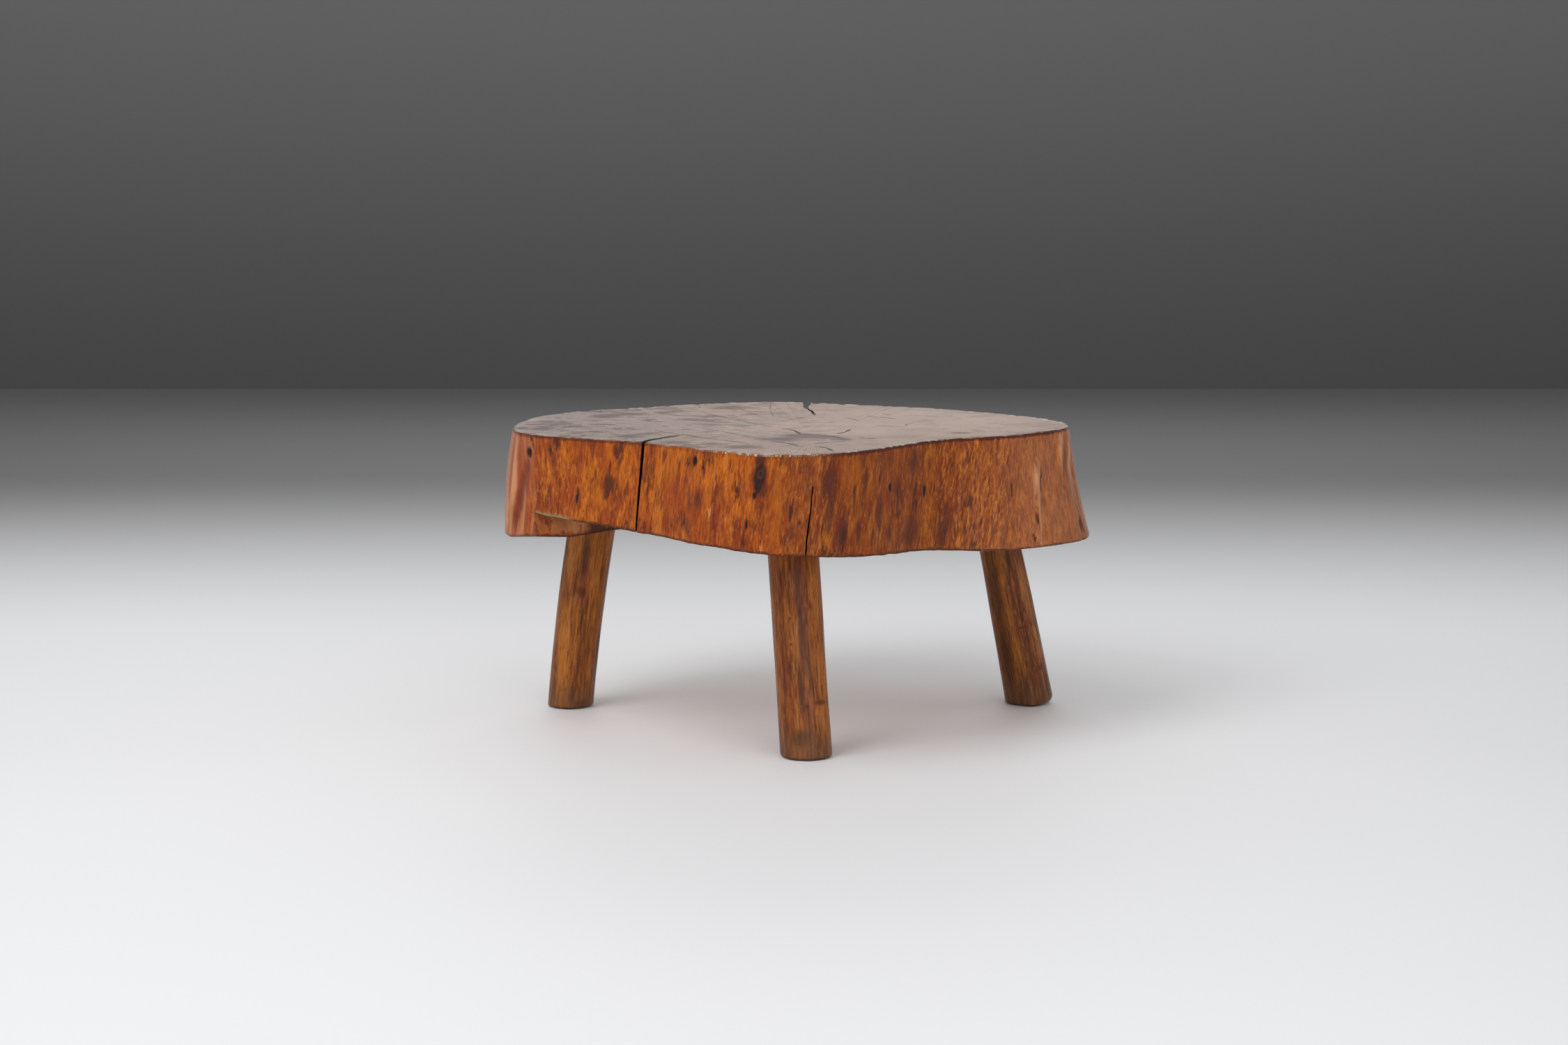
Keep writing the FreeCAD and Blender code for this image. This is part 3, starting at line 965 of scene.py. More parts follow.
# Marks on the wall, each the x, y, width and height of an oval in pixels
BLACK_MARKS = (
    (1090, 684, 20, 42), (1088, 696, 13, 28), (1083, 711, 7, 13), (997, 661.5, 8, 17), (759, 649.5, 8, 17),
    (828, 712, 5, 26), (1071, 753, 4, 16), (1278.2, 700, 4, 15),
    (1326, 705, 5, 17), (1009, 671, 3, 9),
)
PURPLE_MARKS = (
    (887, 645, 15, 25), (891, 636, 9, 16), (876, 673, 3, 22), (874, 697, 19, 32), (871, 711, 10, 16),
    (886, 660, 4, 14), (763, 632, 5, 12), (797, 634, 10, 22), (789, 650, 6, 16),
    (986.5, 665, 10, 7), (1181, 793, 14, 11), (1192, 798.5, 24, 6),
    (1494, 690, 5, 26), (1391, 722, 8, 20), (1389, 655, 6, 12), (1135, 735, 6, 30), (1210, 775, 10, 28),
    (1092, 658, 16, 24), (769, 762, 6, 20), (1058, 700, 5, 14), (1146, 753, 7, 8), (1313, 724, 8, 12),
    (1313, 706, 5, 12), (1225, 708, 3, 14), (1231, 752, 3, 12), (980, 748, 6, 16), (1066, 777, 6, 20),
    (1486, 741, 4, 14), (1484, 776, 4, 12), (1446, 659, 3, 11), (1452, 703, 4, 16),
    (1398, 780, 8, 12), (1551, 755, 5, 18), (1180, 757, 3, 20), (1263, 690, 3, 16), (1290, 735, 3, 14),
    (1340, 700, 3, 12), (1365, 665, 4, 12), (1420, 690, 3, 14), (1434, 735, 3, 16), (1408, 745, 4, 20),
)
SHADE_MARKS = (
    (1308, 757, 25, 52), (1304, 772, 24, 30), (1354, 757, 22, 56), (1350, 772, 22, 28), (1356, 731, 9, 24),
    (1002, 716, 12, 24), (1190, 690, 28, 60), (1208, 765, 20, 60), (1095, 706, 18, 14), (1190, 735, 14, 60),
    (1311, 664, 16, 40), (1135, 735, 8, 40), (985, 752, 12, 30), (1528.5, 655, 5, 70), (1226, 715, 5, 34),
    (1262, 740, 10, 50), (1290, 705, 8, 50), (1243, 695, 6, 40), (1232, 765, 7, 36), (1276, 770, 9, 30),
)
SCAR_MARKS = ((754, 672, 11, 40), (750, 692, 15, 50), (745, 716, 14, 54), (740, 742, 11, 40), (746, 625, 5, 12))
RED_MARKS = (
    (1498, 650, 9, 18), (1486, 712, 6, 20), (1485.5, 745, 7, 26), (1484, 776, 8, 20), (1552, 755, 8, 24),
    (1531, 704, 5, 34), (1510, 660, 8, 30), (1512, 740, 10, 30), (1460, 700, 8, 40), (1440, 770, 14, 20),
    (787, 652, 4.5, 36), (781, 660, 4.5, 32), (926, 665, 5, 60), (806, 664, 5, 30), (812, 690, 6, 30),
    (774, 650, 4.5, 40), (791, 664, 4, 26), (800, 648, 4, 28), (1090.5, 688, 30, 66), (1092, 655, 22, 36),
    (1209, 752, 26, 90), (1193, 700, 34, 110), (1172, 745, 12, 80), (1266, 722, 30, 50), (1350, 690, 20, 70),
    (1366, 720, 24, 90), (1001, 717, 28, 50), (1020, 752, 34, 50), (1059, 757, 18, 50), (787, 722, 40, 24),
    (1316, 712, 28, 50), (1240, 745, 18, 60), (1425, 750, 8, 50), (1408, 738, 7, 40), (1503, 697, 12, 28),
    (1487, 722, 10, 28), (1129, 745, 12, 60), (985, 690, 12, 40), (955, 755, 16, 40), (905, 735, 18, 40),
)
# Pale marks: a few pale spots of the wood, the rest painted highlights and sheen on ridges and along the ends'
# outlines.
PALE_AND_SHEEN_MARKS = (
    (1017, 734, 6, 12), (1521.3, 652, 6, 92), (1491, 728, 8, 124), (1091.5, 788, 4, 5), (739, 680, 8, 100),
    (729, 735, 5, 60), (1535, 660, 6, 70), (1487, 690, 14, 60),
)
GOLD_MARKS = (
    (812, 665, 40, 60), (846, 680, 34, 60), (958, 672, 46, 60), (940, 705, 24, 60), (1040, 690, 46, 60),
    (1222, 686, 14, 70), (1221, 740, 10, 60), (1225, 660, 14, 36), (805, 640, 26, 30), (1112, 700, 18, 60),
    (1055, 735, 14, 50), (1010, 690, 20, 30), (900, 690, 18, 50), (1240, 670, 18, 40),
)
KNOT_HEART = ((1091, 681, 12, 18),)
KNOT_EYE = ((1091, 681, 6, 9),)

# Faint lines on the top, as pixels, and the half widths of all the top's lines in metres
TOP_LINES = (
    ((777, 617.4), (798, 616.6), (822, 611.6), (834, 610.4)),
    ((1009, 592.4), (1051, 601), (1088, 608.5), (1108, 612.4)),
    ((1005, 614), (1034, 618.4), (1063, 624.6), (1098, 631)),
    ((939, 617.4), (964, 621.8), (990, 624)),
    ((984, 624.6), (1033, 631), (1076, 636.6)),
    ((984, 609.6), (993, 610.4)),
    ((894, 625), (915, 622.6), (939, 621.6)),
    ((1213, 598.4), (1235, 604.4)),
    ((1243, 596.6), (1261, 598.4), (1285, 600.6)),
    ((1264, 593.4), (1279, 594.6)),
    ((1300, 610.8), (1301.4, 608.2), (1312, 606.8)),
    ((1152, 612), (1163, 611.6)),
    ((1105.8, 578.4), (1105.0, 588.8), (1110.6, 598.0)),
    ((1141, 598.4), (1154, 599.4)),
    ((1002, 580), (1004.6, 586)),
    ((861, 588), (863, 592.6)),
)
FINE_HALF_WIDTH = 0.0025
DEEP_HALF_WIDTHS = (0.0026, 0.0070)
FAINT_HALF_WIDTH = 0.0010
FAINT_SIDEWAYS_WIDTH = 0.0028

# Dark patches of the top: pixel, and how wide and deep they are in metres
TOP_PATCHES = (
    ((1124, 630.6), 0.034, 0.034),
    ((1150, 625.0), 0.034, 0.030),
    ((1184, 627.0), 0.034, 0.028),
    ((1208, 630.0), 0.020, 0.020),
    ((776, 615), 0.018, 0.020),
    ((822, 612), 0.022, 0.014),
    ((750, 614), 0.010, 0.016),
    ((868, 597), 0.026, 0.030),
    ((905, 594), 0.028, 0.024),
    ((903, 626), 0.022, 0.024),
    ((968, 635), 0.026, 0.022),
    ((1378, 621), 0.018, 0.012),
    ((1050, 585), 0.036, 0.030),
    ((1066, 641), 0.032, 0.024),
    ((1022, 637), 0.022, 0.018),
)


def top_mark(pixel, wide, deep):
    return Mark(np.array(on_top(pixel)), np.array((wide, deep, 0.02)))


def grain_of(look):
    """Wall places laid on a round trunk and unwound from the spiral of the grain, and their x, y and z."""
    x, y, z = look.split(look.where)
    way = look.vector("NORMALIZE", look.join(x, y, 0.0))
    plan = look.add("VectorMath", {0: way, "Scale": TRUNK_RADIUS}, operation="SCALE")
    spiral = look.step(x, *RIGHT_SPIRAL_ENDS, -SPIRAL, -SPIRAL - RIGHT_SPIRAL)
    angle = look.times(look.math("SUBTRACT", z, MIDDLE_HEIGHT), spiral)
    turned = look.add("VectorRotate", {"Vector": plan, "Angle": angle}, rotation_type="Z_AXIS")
    turned_x, turned_y, _ = look.split(turned)
    return look.join(turned_x, turned_y, z), x, y, z


def peeled_side(surface):
    """The peeled and varnished wall of the slice, with some painted light: sheen at its ends, glints on its
    front rim, and shade along its lower edge and on the torn step.
    """
    look = Look("peeled_side")
    grain, x, y, z = grain_of(look)
    jag = look.noise(grain, (260, 260, 34), 3, 0.6, 0.2, 31)
    torn_grain = look.vector("ADD", grain, look.join(0.0, 0.0, look.ragged(0.0, jag, 0.044)))
    broad = look.noise(grain, (11, 11, 9), 3, 0.55, 0.3)
    band = look.noise(torn_grain, (44, 44, 20), 3, 0.6, 0.3, 5)
    blotch = look.noise(torn_grain, (85, 85, 34), 3, 0.6, 0.4, 23)
    streak = look.noise(grain, (200, 200, 42), 4, 0.7, 0.4, 9)
    fine = look.noise(grain, (400, 400, 96), 3, 0.65, 0.3, 13)

    def marks(table, torn_by, raggedness, softness, strength, colour, space=torn_grain):
        spots = [look.off_mark(space, grain_mark(surface, one_in_grain, *mark)) for mark in table]
        look.lay(look.spots(spots, torn_by, raggedness, softness), strength, colour)

    look.begin(look.step(broad, 0.40, 0.62), (152, 64, 2), (174, 84, 4))
    marks(GOLD_MARKS, blotch, 1.6, 1.0, 0.55, (188, 100, 10))
    look.lay(look.step(band, 0.47, 0.36), 0.55, (192, 106, 14))
    look.lay(look.step(band, 0.51, 0.64), 0.7, (120, 44, 8))
    lower = look.times(look.step(z, 0.37, 0.25), 0.16)
    more = look.step(look.plus(broad, lower), 0.40, 0.64, 0.2, 0.9)
    look.lay(look.step(blotch, 0.53, 0.64), more, (94, 34, 12))
    look.lay(look.times(look.step(x, -0.08, 0.02), look.step(x, 0.30, 0.20)), 0.5, (106, 50, 10))
    marks(RED_MARKS, blotch, 1.4, 1.0, 0.6, (112, 34, 10))

    # Paler and pinker towards the right end: partly the wood's tone, partly painted sheen where the wall turns
    # away.
    look.lay(look.step(x, 0.18, 0.31), 0.6, (152, 88, 48))
    torn = look.attribute("torn")
    look.lay(torn, 0.4, (190, 120, 76))
    busy = look.step(look.noise(grain, (24, 24, 14), 2, 0.5, 0.0, 37), 0.36, 0.60, 0.45, 1.0)
    busy = look.math("MAXIMUM", busy, look.step(x, 0.05, 0.20, 0.0, 1.2))
    look.streaks(busy, (
        (streak, 0.49, 0.62, 0.55, (90, 34, 8)),
        (streak, 0.47, 0.34, 0.38, (212, 128, 38)),
        (fine, 0.52, 0.66, 0.55, (76, 28, 8)),
        (fine, 0.46, 0.34, 0.25, (222, 148, 64)),
    ))
    marks(SHADE_MARKS, streak, 1.2, 0.8, 0.75, (76, 32, 20))
    # Paler again at the right end, over the streaks: partly the wood's duller tone, partly painted sheen.
    look.lay(look.step(x, 0.21, 0.31), 0.42, (158, 100, 68))

    # The left end's pale and dark stripes: partly the wood's streaks, partly painted pinkish sheen where the
    # wall turns away.
    tall = look.noise(grain, (120, 120, 5), 3, 0.6, 0.2, 43)
    left_end = look.step(look.ragged(x, streak, 0.020), -0.318, -0.340, 0.0, 0.8)
    left_end = look.times(left_end, look.step(look.ragged(y, streak, 0.08), 0.11, 0.02))
    stripes_and_sheen = look.mix(look.step(tall, 0.38, 0.60), srgb(184, 122, 80), srgb(150, 72, 36))
    look.colour = look.mix(left_end, look.colour, stripes_and_sheen)
    marks(SCAR_MARKS, streak, 1.0, 0.8, 0.8, (112, 36, 16))
    # Painted highlights and sheen, with a few pale spots of the wood.
    marks(PALE_AND_SHEEN_MARKS, streak, 1.0, 0.9, 0.6, (208, 148, 106))
    marks(PURPLE_MARKS, streak, 1.0, 0.6, 0.85, (66, 24, 16))
    marks(BLACK_MARKS, fine, 1.0, 0.6, 0.95, (26, 12, 9), grain)
    marks(KNOT_HEART, fine, 0.6, 0.7, 0.7, (84, 52, 32), grain)
    marks(KNOT_EYE, fine, 0.6, 0.7, 0.8, (34, 18, 12), grain)

    edge = look.ragged(look.attribute("above_edge"), streak, 0.010)
    # Darker along the lower edge: partly the edge's dark wood, partly painted shade under the slab.
    look.lay(look.step(edge, 0.0036, 0.0012), 0.8, (48, 26, 14))
    lip_span = look.times(look.step(x, -0.340, -0.332), look.step(x, -0.272, -0.286))
    lip_side = look.times(look.step(y, -0.06, -0.07), look.step(z, 0.264, 0.268))
    lip = look.times(lip_span, lip_side, look.step(look.ragged(edge, fine, 0.012), 0.0046, 0.0020))
    look.lay(lip, 0.75, (150, 126, 86))
    # Painted shadow on the torn step to the right of the lip, where the slab's underside shades it above the
    # leg.
    look.lay(look.times(torn, look.step(x, -0.272, -0.258)), 0.85, (62, 38, 24))
    deep = look.step(look.ragged(look.attribute("below_cut"), fine, 0.012), 0.0290, 0.0255)
    splintered = look.times(look.step(x, -0.316, -0.280), look.step(x, -0.258, -0.272), torn, deep)
    look.lay(splintered, 0.55, (204, 150, 98))
    rim = look.step(look.ragged(z, streak, 0.006), TABLE_HEIGHT - 0.0060, TABLE_HEIGHT - 0.0030)
    left_rim, right_rim = look.step(x, -0.15, -0.20, 0.3, 0.7), look.step(x, -0.02, 0.08, 0.3, 0.9)
    look.lay(rim, look.math("MAXIMUM", left_rim, right_rim), (68, 22, 12))
    # Painted glints: pale flecks along the front rim that stand for highlights on the varnish.
    front = look.step(look.math("ABSOLUTE", look.plus(x, 0.04)), 0.09, 0.05)
    glint = look.times(look.step(fine, 0.50, 0.60), look.step(z, TABLE_HEIGHT - 0.004, TABLE_HEIGHT))
    look.lay(glint, front, (232, 204, 172))

    roughness = look.step(streak, 0.3, 0.7, 0.42, 0.60)
    height = look.plus(streak, look.times(fine, 0.5))
    return look.finish(roughness, height, 0.0009, 0.08, 0.22, 0.16, 0.35)


def end_grain():
    """The sawn and varnished top, with rings, rays, a dark heart and fine checks, and some painted sheen and
    shade.
    """
    look = Look("end_grain")
    x, y, _ = look.split(look.where)
    ring = look.attribute("ring")
    away = look.vector("SUBTRACT", look.where, (*PITH.tolist(), TABLE_HEIGHT))
    wander = look.noise(look.where, (7, 7, 1), 3, 0.5, 0.0, 3)
    number = look.plus(look.times(ring, 62.0), look.times(wander, 5.0))
    late = look.step(look.math("FRACT", number), 0.45, 0.97)
    year = look.noise(look.join(number, 0.0, 0.0), (0.9, 1, 1), 1, 0.5, 0.0, 2)
    rays = look.noise(look.vector("NORMALIZE", away), (46, 46, 0), 3, 0.6, 0.0, 7)
    smudge = look.noise(look.where, (22, 34, 1), 5, 0.7, 0.6, 11)
    cloud = look.noise(look.where, (5, 9, 1), 3, 0.55, 0.4, 19)
    speck = look.noise(look.where, (300, 300, 1), 3, 0.6, 0.0, 29)
    mottle = look.noise(look.where, (60, 110, 1), 4, 0.6, 0.5, 47)

    look.begin(look.step(cloud, 0.36, 0.64), (124, 86, 60), (152, 110, 80))
    look.lay(late, look.step(year, 0.3, 0.7, 0.15, 0.5), (92, 62, 48))
    clear = look.step(ring, 0.2, 0.7, 0.05, 0.3)
    look.lay(look.step(rays, 0.52, 0.66), clear, (80, 54, 44))
    look.lay(look.step(mottle, 0.50, 0.66), 0.6, (104, 74, 62))
    look.lay(look.step(mottle, 0.46, 0.30), 0.5, (190, 152, 132))
    look.lay(look.step(x, -0.06, -0.32), 0.3, (84, 60, 50))
    # Paler towards the right: painted sheen.
    look.lay(look.step(x, -0.12, 0.26), 0.6, (174, 140, 114))
    smudges = look.times(look.step(smudge, 0.49, 0.62), look.step(x, 0.10, -0.30, 0.30, 0.85))
    look.lay(smudges, 1.0, (80, 62, 58))
    look.lay(look.step(speck, 0.56, 0.70), 0.25, (80, 56, 48))
    look.lay(look.step(ring, 0.86, 1.0), look.step(y, 0.1, -0.1, 0.3, 0.7), (96, 68, 54))
    patches = [look.off_mark(look.where, top_mark(*mark)) for mark in TOP_PATCHES]
    dark = look.spots(patches, smudge, 2.6, 1.1)
    look.lay(dark, 0.64, (64, 60, 70))

    # Dark bands along the checks, wider than the cuts: partly stained wood, partly painted shade of the checks'
    # depths.
    strong, faint = [], []
    for route in FINE_CHECKS:
        strong += look.off_route([on_top(point) for point in route], FINE_HALF_WIDTH)
    for check, half_width in zip(DEEP_CHECKS, DEEP_HALF_WIDTHS):
        strong += look.off_route([on_top(point) for point in check.route[1:]], half_width)
    for route in TOP_LINES:
        places = [on_top(point) for point in route]
        heading = places[-1] - places[0]
        sideways = abs(heading.x) / heading.length
        faint += look.off_route(places, FAINT_HALF_WIDTH + FAINT_SIDEWAYS_WIDTH * sideways)
    strong = look.times(look.spots(strong, mottle, 0.9, 0.7), 0.92)
    faint = look.times(look.spots(faint, mottle, 1.4, 1.2), 0.7)
    lines = look.math("MAXIMUM", strong, faint)
    look.lay(lines, 1.0, (38, 28, 28))

    dull = look.math("MAXIMUM", look.math("MAXIMUM", smudges, dark), lines)
    dull = look.plus(dull, look.times(look.step(rays, 0.5, 0.66), clear))
    roughness = look.step(dull, 0.0, 0.8, 0.34, 0.62)
    height = look.plus(look.times(late, 0.6), look.times(speck, 0.8))
    return look.finish(roughness, height, 0.00025, 0.12, 0.24)


def torn_wood():
    """The raw wood of the felling cut and the torn step."""
    look = Look("torn_wood")
    strand = look.noise(look.where, (190, 190, 22), 4, 0.65, 0.3, 3)
    patch = look.noise(look.where, (30, 30, 30), 3, 0.6, 0.5, 8)
    look.begin(look.step(patch, 0.40, 0.62), (180, 96, 40), (146, 90, 52))
    look.lay(look.step(strand, 0.5, 0.7), 0.6, (92, 46, 24))
    look.lay(look.step(strand, 0.42, 0.3), 0.4, (206, 148, 96))
    return look.finish(look.step(strand, 0.3, 0.7, 0.55, 0.75), strand, 0.0012, 0.1, 0.4)


def check_inside():
    """The dark wood inside the checks."""
    look = Look("check_inside")
    strand = look.noise(look.where, (200, 200, 20), 3, 0.6, 0.2, 3)
    look.begin(look.step(strand, 0.4, 0.65), (34, 14, 8), (62, 30, 18))
    return look.finish(look.step(strand, 0.3, 0.7, 0.7, 0.9), strand, 0.0008, 0.0, 0.4, 0.3)


def sawn_underside():
    """The flat sawn underside, plain and unvarnished."""
    look = Look("sawn_underside")
    kerf = look.noise(look.where, (12, 420, 1), 2, 0.5, 0.1, 3)
    patch = look.noise(look.where, (10, 10, 4), 4, 0.6, 0.3, 8)
    look.begin(look.step(patch, 0.38, 0.64), (150, 104, 68), (176, 134, 94))
    look.lay(look.step(kerf, 0.5, 0.68), 0.4, (112, 76, 52))
    return look.finish(look.step(kerf, 0.3, 0.7, 0.62, 0.78), kerf, 0.0005, 0.0, 0.4)


# Marks on the legs, each the x, y, width and height of an oval in pixels
LEG_DARK_MARKS = {
    "left": ((834, 850, 15, 20), (839, 800, 15, 90), (835, 885, 5, 40), (830, 950, 5, 110),
             (834, 1010, 26, 14), (842, 870, 4, 40), (871, 830, 5, 110), (858, 930, 4, 90)),
    "front": ((1133, 888, 6, 6), (1144, 830, 12, 80), (1151, 915, 12, 130),
              (1149, 990, 10, 90), (1134.5, 966, 6, 40), (1135, 925, 6, 6), (1157.5, 840, 2.4, 60),
              (1126, 985, 5, 50), (1162, 965, 6, 80), (1121, 840, 4, 50), (1178, 1008, 24, 9),
              (1157, 1014, 14, 8), (1163, 870, 4, 14), (1166, 985, 4, 40), (1150, 1060, 40, 30)),
    "right": ((1493, 957, 12, 12), (1466, 901, 12, 5), (1430, 850, 16, 150), (1446, 950, 20, 130),
              (1474, 985, 5, 60)),
}
LEG_RED_MARKS = {
    "left": ((836, 885, 8, 60), (823, 975, 14, 80), (841, 820, 12, 60)),
    "front": ((1127, 960, 20, 90), (1133, 1005, 14, 40), (1145, 870, 22, 50), (1157, 1020, 14, 50)),
    "right": ((1457, 835, 14, 50), (1466, 905, 26, 50), (1496, 975, 16, 40)),
}
LEG_LIGHT_MARKS = {
    "left": ((822, 800, 8, 90), (815, 910, 8, 90), (845, 960, 7, 90), (850, 840, 6, 90)),
    "front": ((1136, 910, 8, 44), (1140, 960, 6, 70), (1145, 1020, 8, 70), (1130, 830, 9, 70),
              (1166, 840, 8, 60), (1175, 1030, 6, 40)),
    "right": ((1474, 850, 14, 120), (1488, 920, 12, 90), (1480, 1000, 10, 50)),
}

# Each leg's golden, middle and dark tones
LEG_TONES = {
    "left": ((166, 98, 30), (136, 74, 22), (70, 34, 12)),
    "front": ((158, 92, 34), (130, 68, 24), (70, 34, 14)),
    "right": ((140, 82, 28), (104, 56, 18), (54, 28, 10)),
}


def pole_wood(leg):
    """The oiled wood of a leg, with streaks along the pole and painted contact shade at its foot."""
    look = Look(leg.name + "_pole_wood")
    turn = leg.axis.to_track_quat("Z", "Y").to_euler()
    into_pole = turn.to_matrix().inverted()
    inputs = {"Vector": look.where, "Location": leg.foot, "Rotation": turn, "Scale": (1, 1, 1)}
    along = look.add("Mapping", inputs, vector_type="TEXTURE")
    seed = len(leg.name) * 3.1
    band = look.noise(along, (52, 52, 4), 4, 0.6, 0.3, seed)
    streak = look.noise(along, (200, 200, 12), 4, 0.7, 0.4, seed + 3)
    fine = look.noise(along, (420, 420, 60), 3, 0.65, 0.2, seed + 6)
    patch = look.noise(along, (28, 28, 13), 4, 0.6, 0.3, seed + 9)
    golden, middle, dark = LEG_TONES[leg.name]

    def to_pole(place):
        return np.array(into_pole @ (place - leg.foot))

    def marks(table, strength, colour):
        spots = [
            look.off_mark(along, grain_mark(leg.solid, to_pole, *mark)) for mark in table[leg.name]
        ]
        look.lay(look.spots(spots, streak, 0.9, 0.9), strength, colour)

    look.begin(look.step(band, 0.38, 0.60), golden, middle)
    look.lay(look.step(patch, 0.50, 0.62), 0.5, (112, 48, 20))
    marks(LEG_RED_MARKS, 0.5, (112, 42, 18))
    marks(LEG_LIGHT_MARKS, 0.5, (172, 108, 56))
    look.streaks(1.0, (
        (streak, 0.49, 0.63, 0.7, dark),
        (streak, 0.46, 0.32, 0.35, (178, 116, 52)),
        (fine, 0.51, 0.66, 0.55, (58, 30, 14)),
        (fine, 0.46, 0.34, 0.25, (186, 128, 66)),
    ))
    marks(LEG_DARK_MARKS, 0.65, (58, 30, 16))
    _, _, z = look.split(look.where)
    look.lay(look.step(z, 0.050, 0.010), 0.5, (90, 64, 46))
    # Painted contact shade: the lowest few millimetres of the foot, darkest at the floor.
    look.lay(look.step(look.ragged(z, fine, 0.006), 0.0045, 0.0015), 0.8, (34, 24, 18))
    roughness = look.step(streak, 0.3, 0.7, 0.42, 0.60)
    height = look.plus(streak, look.times(fine, 0.5))
    return look.finish(roughness, height, 0.0009, 0.08, 0.25, 0.16, 0.3)


def wedge_wood():
    """The raw wood of the hidden wedges."""
    look = Look("wedge_grain")
    grain = look.noise(look.where, (240, 240, 14), 4, 0.6, 0.2, 3)
    look.begin(look.step(grain, 0.35, 0.65), (206, 164, 112), (168, 120, 74))
    return look.finish(look.step(grain, 0.3, 0.7, 0.6, 0.75), grain, 0.0004, 0.0, 0.4)


# The pieces

# How steep a face is, and how close to its level, to count as sawn or as part of the lip
SAWN_LEVEL = 0.8
SAWN_REACH = 0.003
LIP_FACING = 0.5
SLICE_SHARP_DEGREES = 42
POLE_SHARP_DEGREES = 40


def read_vectors(items, key):
    """A vector of each vertex or face, as an array."""
    values = np.zeros(len(items) * 3)
    items.foreach_get(key, values)
    return values.reshape(-1, 3)


def choose_materials(mesh, side, top, under):
    """Gives the slice's faces their materials."""
    mesh.materials.append(top)
    mesh.materials.append(under)
    names = [material.name for material in mesh.materials]
    normals, centres = read_vectors(mesh.polygons, "normal"), read_vectors(mesh.polygons, "center")
    chosen = np.zeros(len(mesh.polygons), dtype=np.int32)
    mesh.polygons.foreach_get("material_index", chosen)
    lip = (normals[:, 1] < -LIP_FACING) & (centres[:, 0] < LIP_END)
    chosen[lip & (chosen == names.index("torn_wood"))] = names.index(side.name)
    wall = chosen == names.index(side.name)
    up, height = normals[:, 2], centres[:, 2]
    on_level = wall & (up > SAWN_LEVEL) & (height > TABLE_HEIGHT - SAWN_REACH)
    below = wall & (up < -SAWN_LEVEL) & (height < UNDERSIDE + SAWN_REACH)
    chosen[on_level] = names.index(top.name)
    chosen[below] = names.index(under.name)
    mesh.polygons.foreach_set("material_index", chosen)


def store_places(mesh):
    """Stores each point's share of the way from the pith to the rim, and where it lies from the cuts."""
    rim = trunk_outlines()(TABLE_HEIGHT) - PITH
    turns = np.arctan2(rim[:, 1], rim[:, 0])
    order = np.argsort(turns)
    reach = np.linalg.norm(rim, axis=1)
    places = read_vectors(mesh.vertices, "co")
    away = places[:, :2] - PITH
    far = np.interp(np.arctan2(away[:, 1], away[:, 0]), turns[order], reach[order], period=2 * math.pi)
    stored = {
        "ring": np.linalg.norm(away, axis=1) / far,
        "above_edge": places[:, 2] - edge_height(places[:, :2]),
        "torn": is_torn(places),
        "below_cut": cut_height(places[:, :2]) - places[:, 2],
    }
    for name, values in stored.items():
        mesh.attributes.new(name, "FLOAT", "POINT").data.foreach_set("value", values.astype(np.float32))


def make_slice(legs):
    """The slice, cut by the felling cut, the checks and the legs' sockets."""
    loops, facing = wall_loops()
    surface = wall_surface(loops)
    side, inside = peeled_side(surface), check_inside()
    slab = trunk_slice(loops, facing, surface, side)
    carve(slab, felling_block(torn_wood()))
    checks = [*DEEP_CHECKS, FRONT_CHECK]
    for number, route in enumerate(FINE_CHECKS):
        low = TABLE_HEIGHT - FINE_DEPTH
        checks.append(Check(route, low, ABOVE, FINE_FOOT_SHARE, FINE_SEED + number))
    for check in checks:
        carve(slab, check_blade(check, inside))
    for leg in legs:
        radius, end = TENON_RADIUS + SOCKET_CLEARANCE, TENON_LENGTH + SOCKET_END_GAP
        carve(slab, round_bar("socket", leg, radius, -SOCKET_OVERRUN, end, inside))
    clean_cuts(slab)
    choose_materials(slab.data, side, end_grain(), sawn_underside())
    store_places(slab.data)
    smooth_faces(slab, SLICE_SHARP_DEGREES)
    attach(slab, "root")
    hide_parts("tabletop_slab")


def make_pole(leg):
    """A leg: its pole joined to its tenon."""
    wood = pole_wood(leg)
    post = pole(leg, wood)
    carve(post, solid_tenon(leg, wood), "UNION")
    clean_cuts(post)
    smooth_faces(post, POLE_SHARP_DEGREES)
    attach(post, "root")
    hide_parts(leg.name + "_leg")


def make_table():
    legs = find_legs()
    make_slice(legs)
    for leg in legs:
        make_pole(leg)
    raw = wedge_wood()
    for leg in legs:
        wedge = frame["nodes"][leg.name + "_wedge"]
        wedge.data.materials.clear()
        wedge.data.materials.append(raw)


# The studio

HALF_WIDTH = 9
FRONT_Y = -7
WALL_Y = 4.37
WALL_HEIGHT = 6
AIR_STRENGTH = 0.58
LIGHT_AIM = Vector((0, 0, 0.25))

# The soft lights: name, place, size and power
SOFT_LIGHTS = (
    ("key_light", (-2.4, -2.2, 2.8), (2.2, 1.8), 46),
    ("fill_light", (1.4, -3.3, 1.1), (2.4, 1.4), 29),
    ("back_light", (0.0, 3.3, 1.9), (4.0, 1.4), 32),
    ("top_light", (-1.3, -1.0, 3.0), (1.6, 1.6), 18),
)


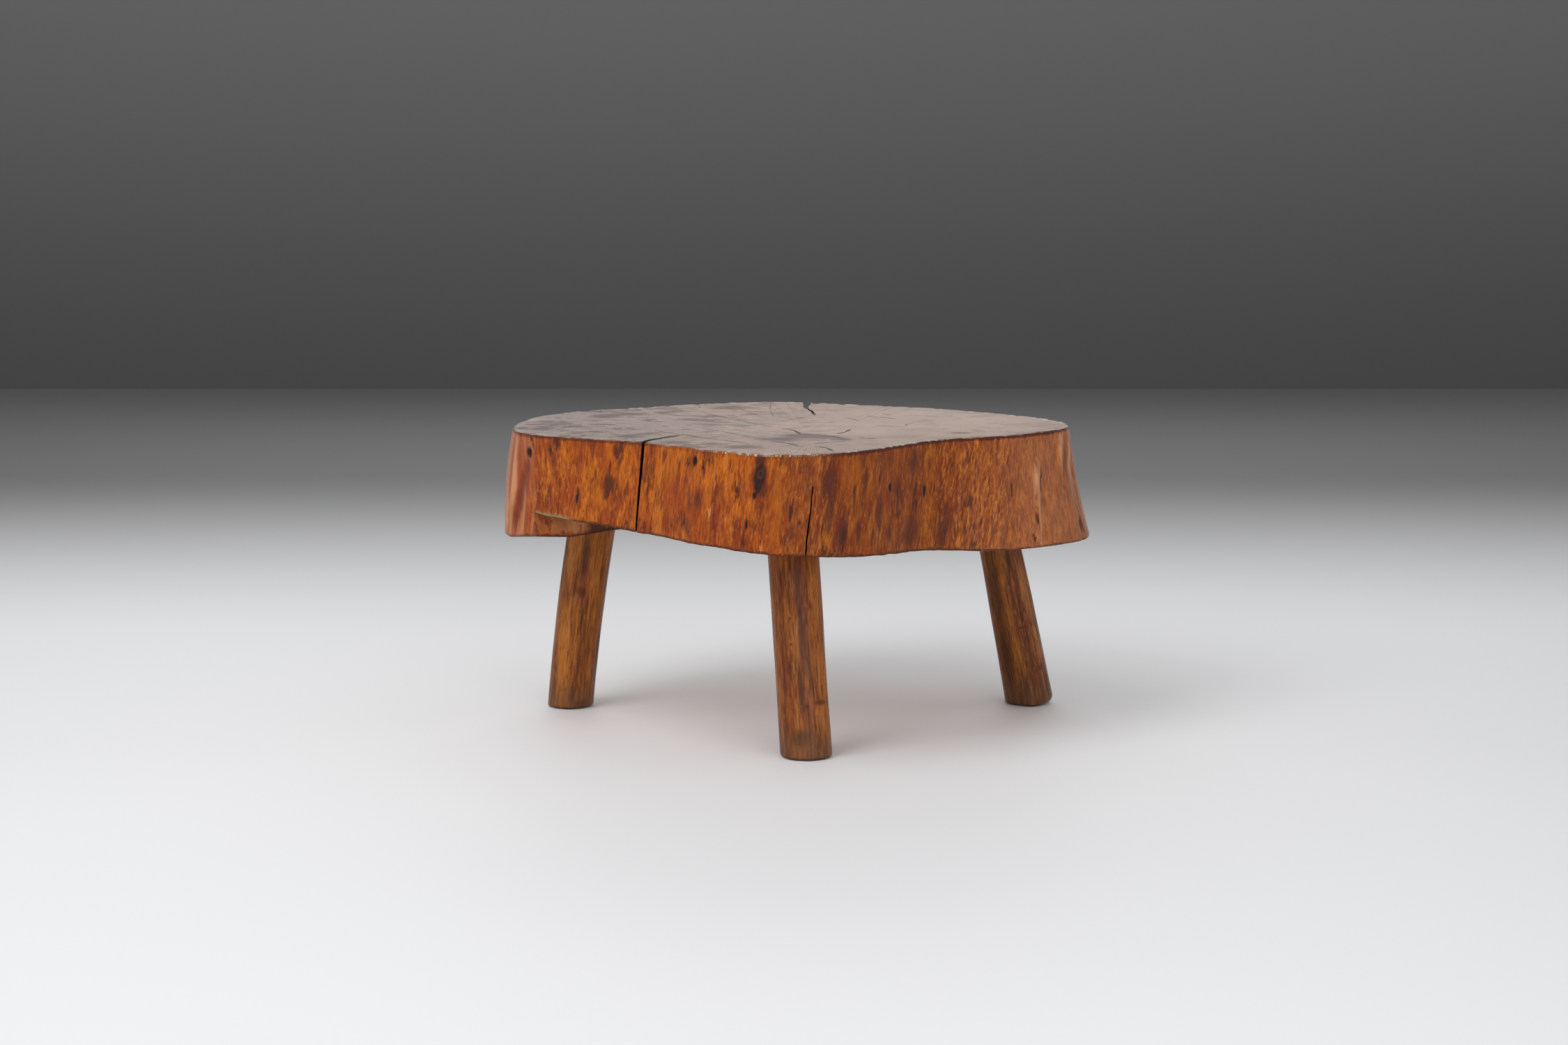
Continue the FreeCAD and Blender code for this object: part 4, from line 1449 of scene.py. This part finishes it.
def backdrop(name, corners, near, far, axis, start, end):
    """A flat sheet of the studio, in a paint that turns softly from one grey to another along an axis."""
    look = Look(name + "_paint")
    look.begin(look.step(look.split(look.where)[axis], start, end), near, far)
    material = look.show(look.add("BsdfPrincipled", {"Base Color": look.colour, "Roughness": 0.6}))
    return make_object("studio_" + name, corners, [(0, 1, 2, 3)], material)


def make_backdrops():
    """A pale floor that turns grey towards the back, a painted shade of the light's falloff, and a grey wall
    far behind that turns lighter upward.
    """
    front = [(-HALF_WIDTH, FRONT_Y, 0), (HALF_WIDTH, FRONT_Y, 0)]
    back = [(HALF_WIDTH, WALL_Y, 0), (-HALF_WIDTH, WALL_Y, 0)]
    top = [(HALF_WIDTH, WALL_Y, WALL_HEIGHT), (-HALF_WIDTH, WALL_Y, WALL_HEIGHT)]
    # The floor's paint darkens towards the back: painted shade of the light falling off.
    floor = backdrop("floor", front + back, (236, 237, 239), (118, 118, 118), 1, 0.50, 2.50)
    wall = backdrop("wall", back[::-1] + top, (85, 85, 85), (113, 113, 113), 2, 0.0, 1.3)


def make_lights():
    """Large soft lights and a pale air."""
    for name, place, size, power in SOFT_LIGHTS:
        light = bpy.data.lights.new(name, "AREA")
        light.shape = "RECTANGLE"
        light.size, light.size_y = size
        light.energy = power
        lamp = bpy.data.objects.new(name, light)
        lamp.location = place
        lamp.rotation_euler = (LIGHT_AIM - Vector(place)).to_track_quat("-Z", "Y").to_euler()
        bpy.context.scene.collection.objects.link(lamp)
    world = bpy.data.worlds.new("studio_air")
    world.use_nodes = True
    air = world.node_tree.nodes["Background"].inputs
    air["Color"].default_value = (1, 1, 1, 1)
    air["Strength"].default_value = AIR_STRENGTH
    bpy.context.scene.world = world


def make_camera():
    """The photograph's camera."""
    camera = bpy.data.objects.new("photo_camera", bpy.data.cameras.new("photo_camera"))
    camera.data.lens = LENS_MM
    camera.data.sensor_width = SENSOR_MM
    camera.location = CAMERA_PLACE
    camera.rotation_euler = CAMERA_TURN
    bpy.context.scene.collection.objects.link(camera)
    bpy.context.scene.camera = camera
    bpy.context.scene.view_settings.view_transform = "Standard"


make_table()
make_backdrops()
make_lights()
make_camera()
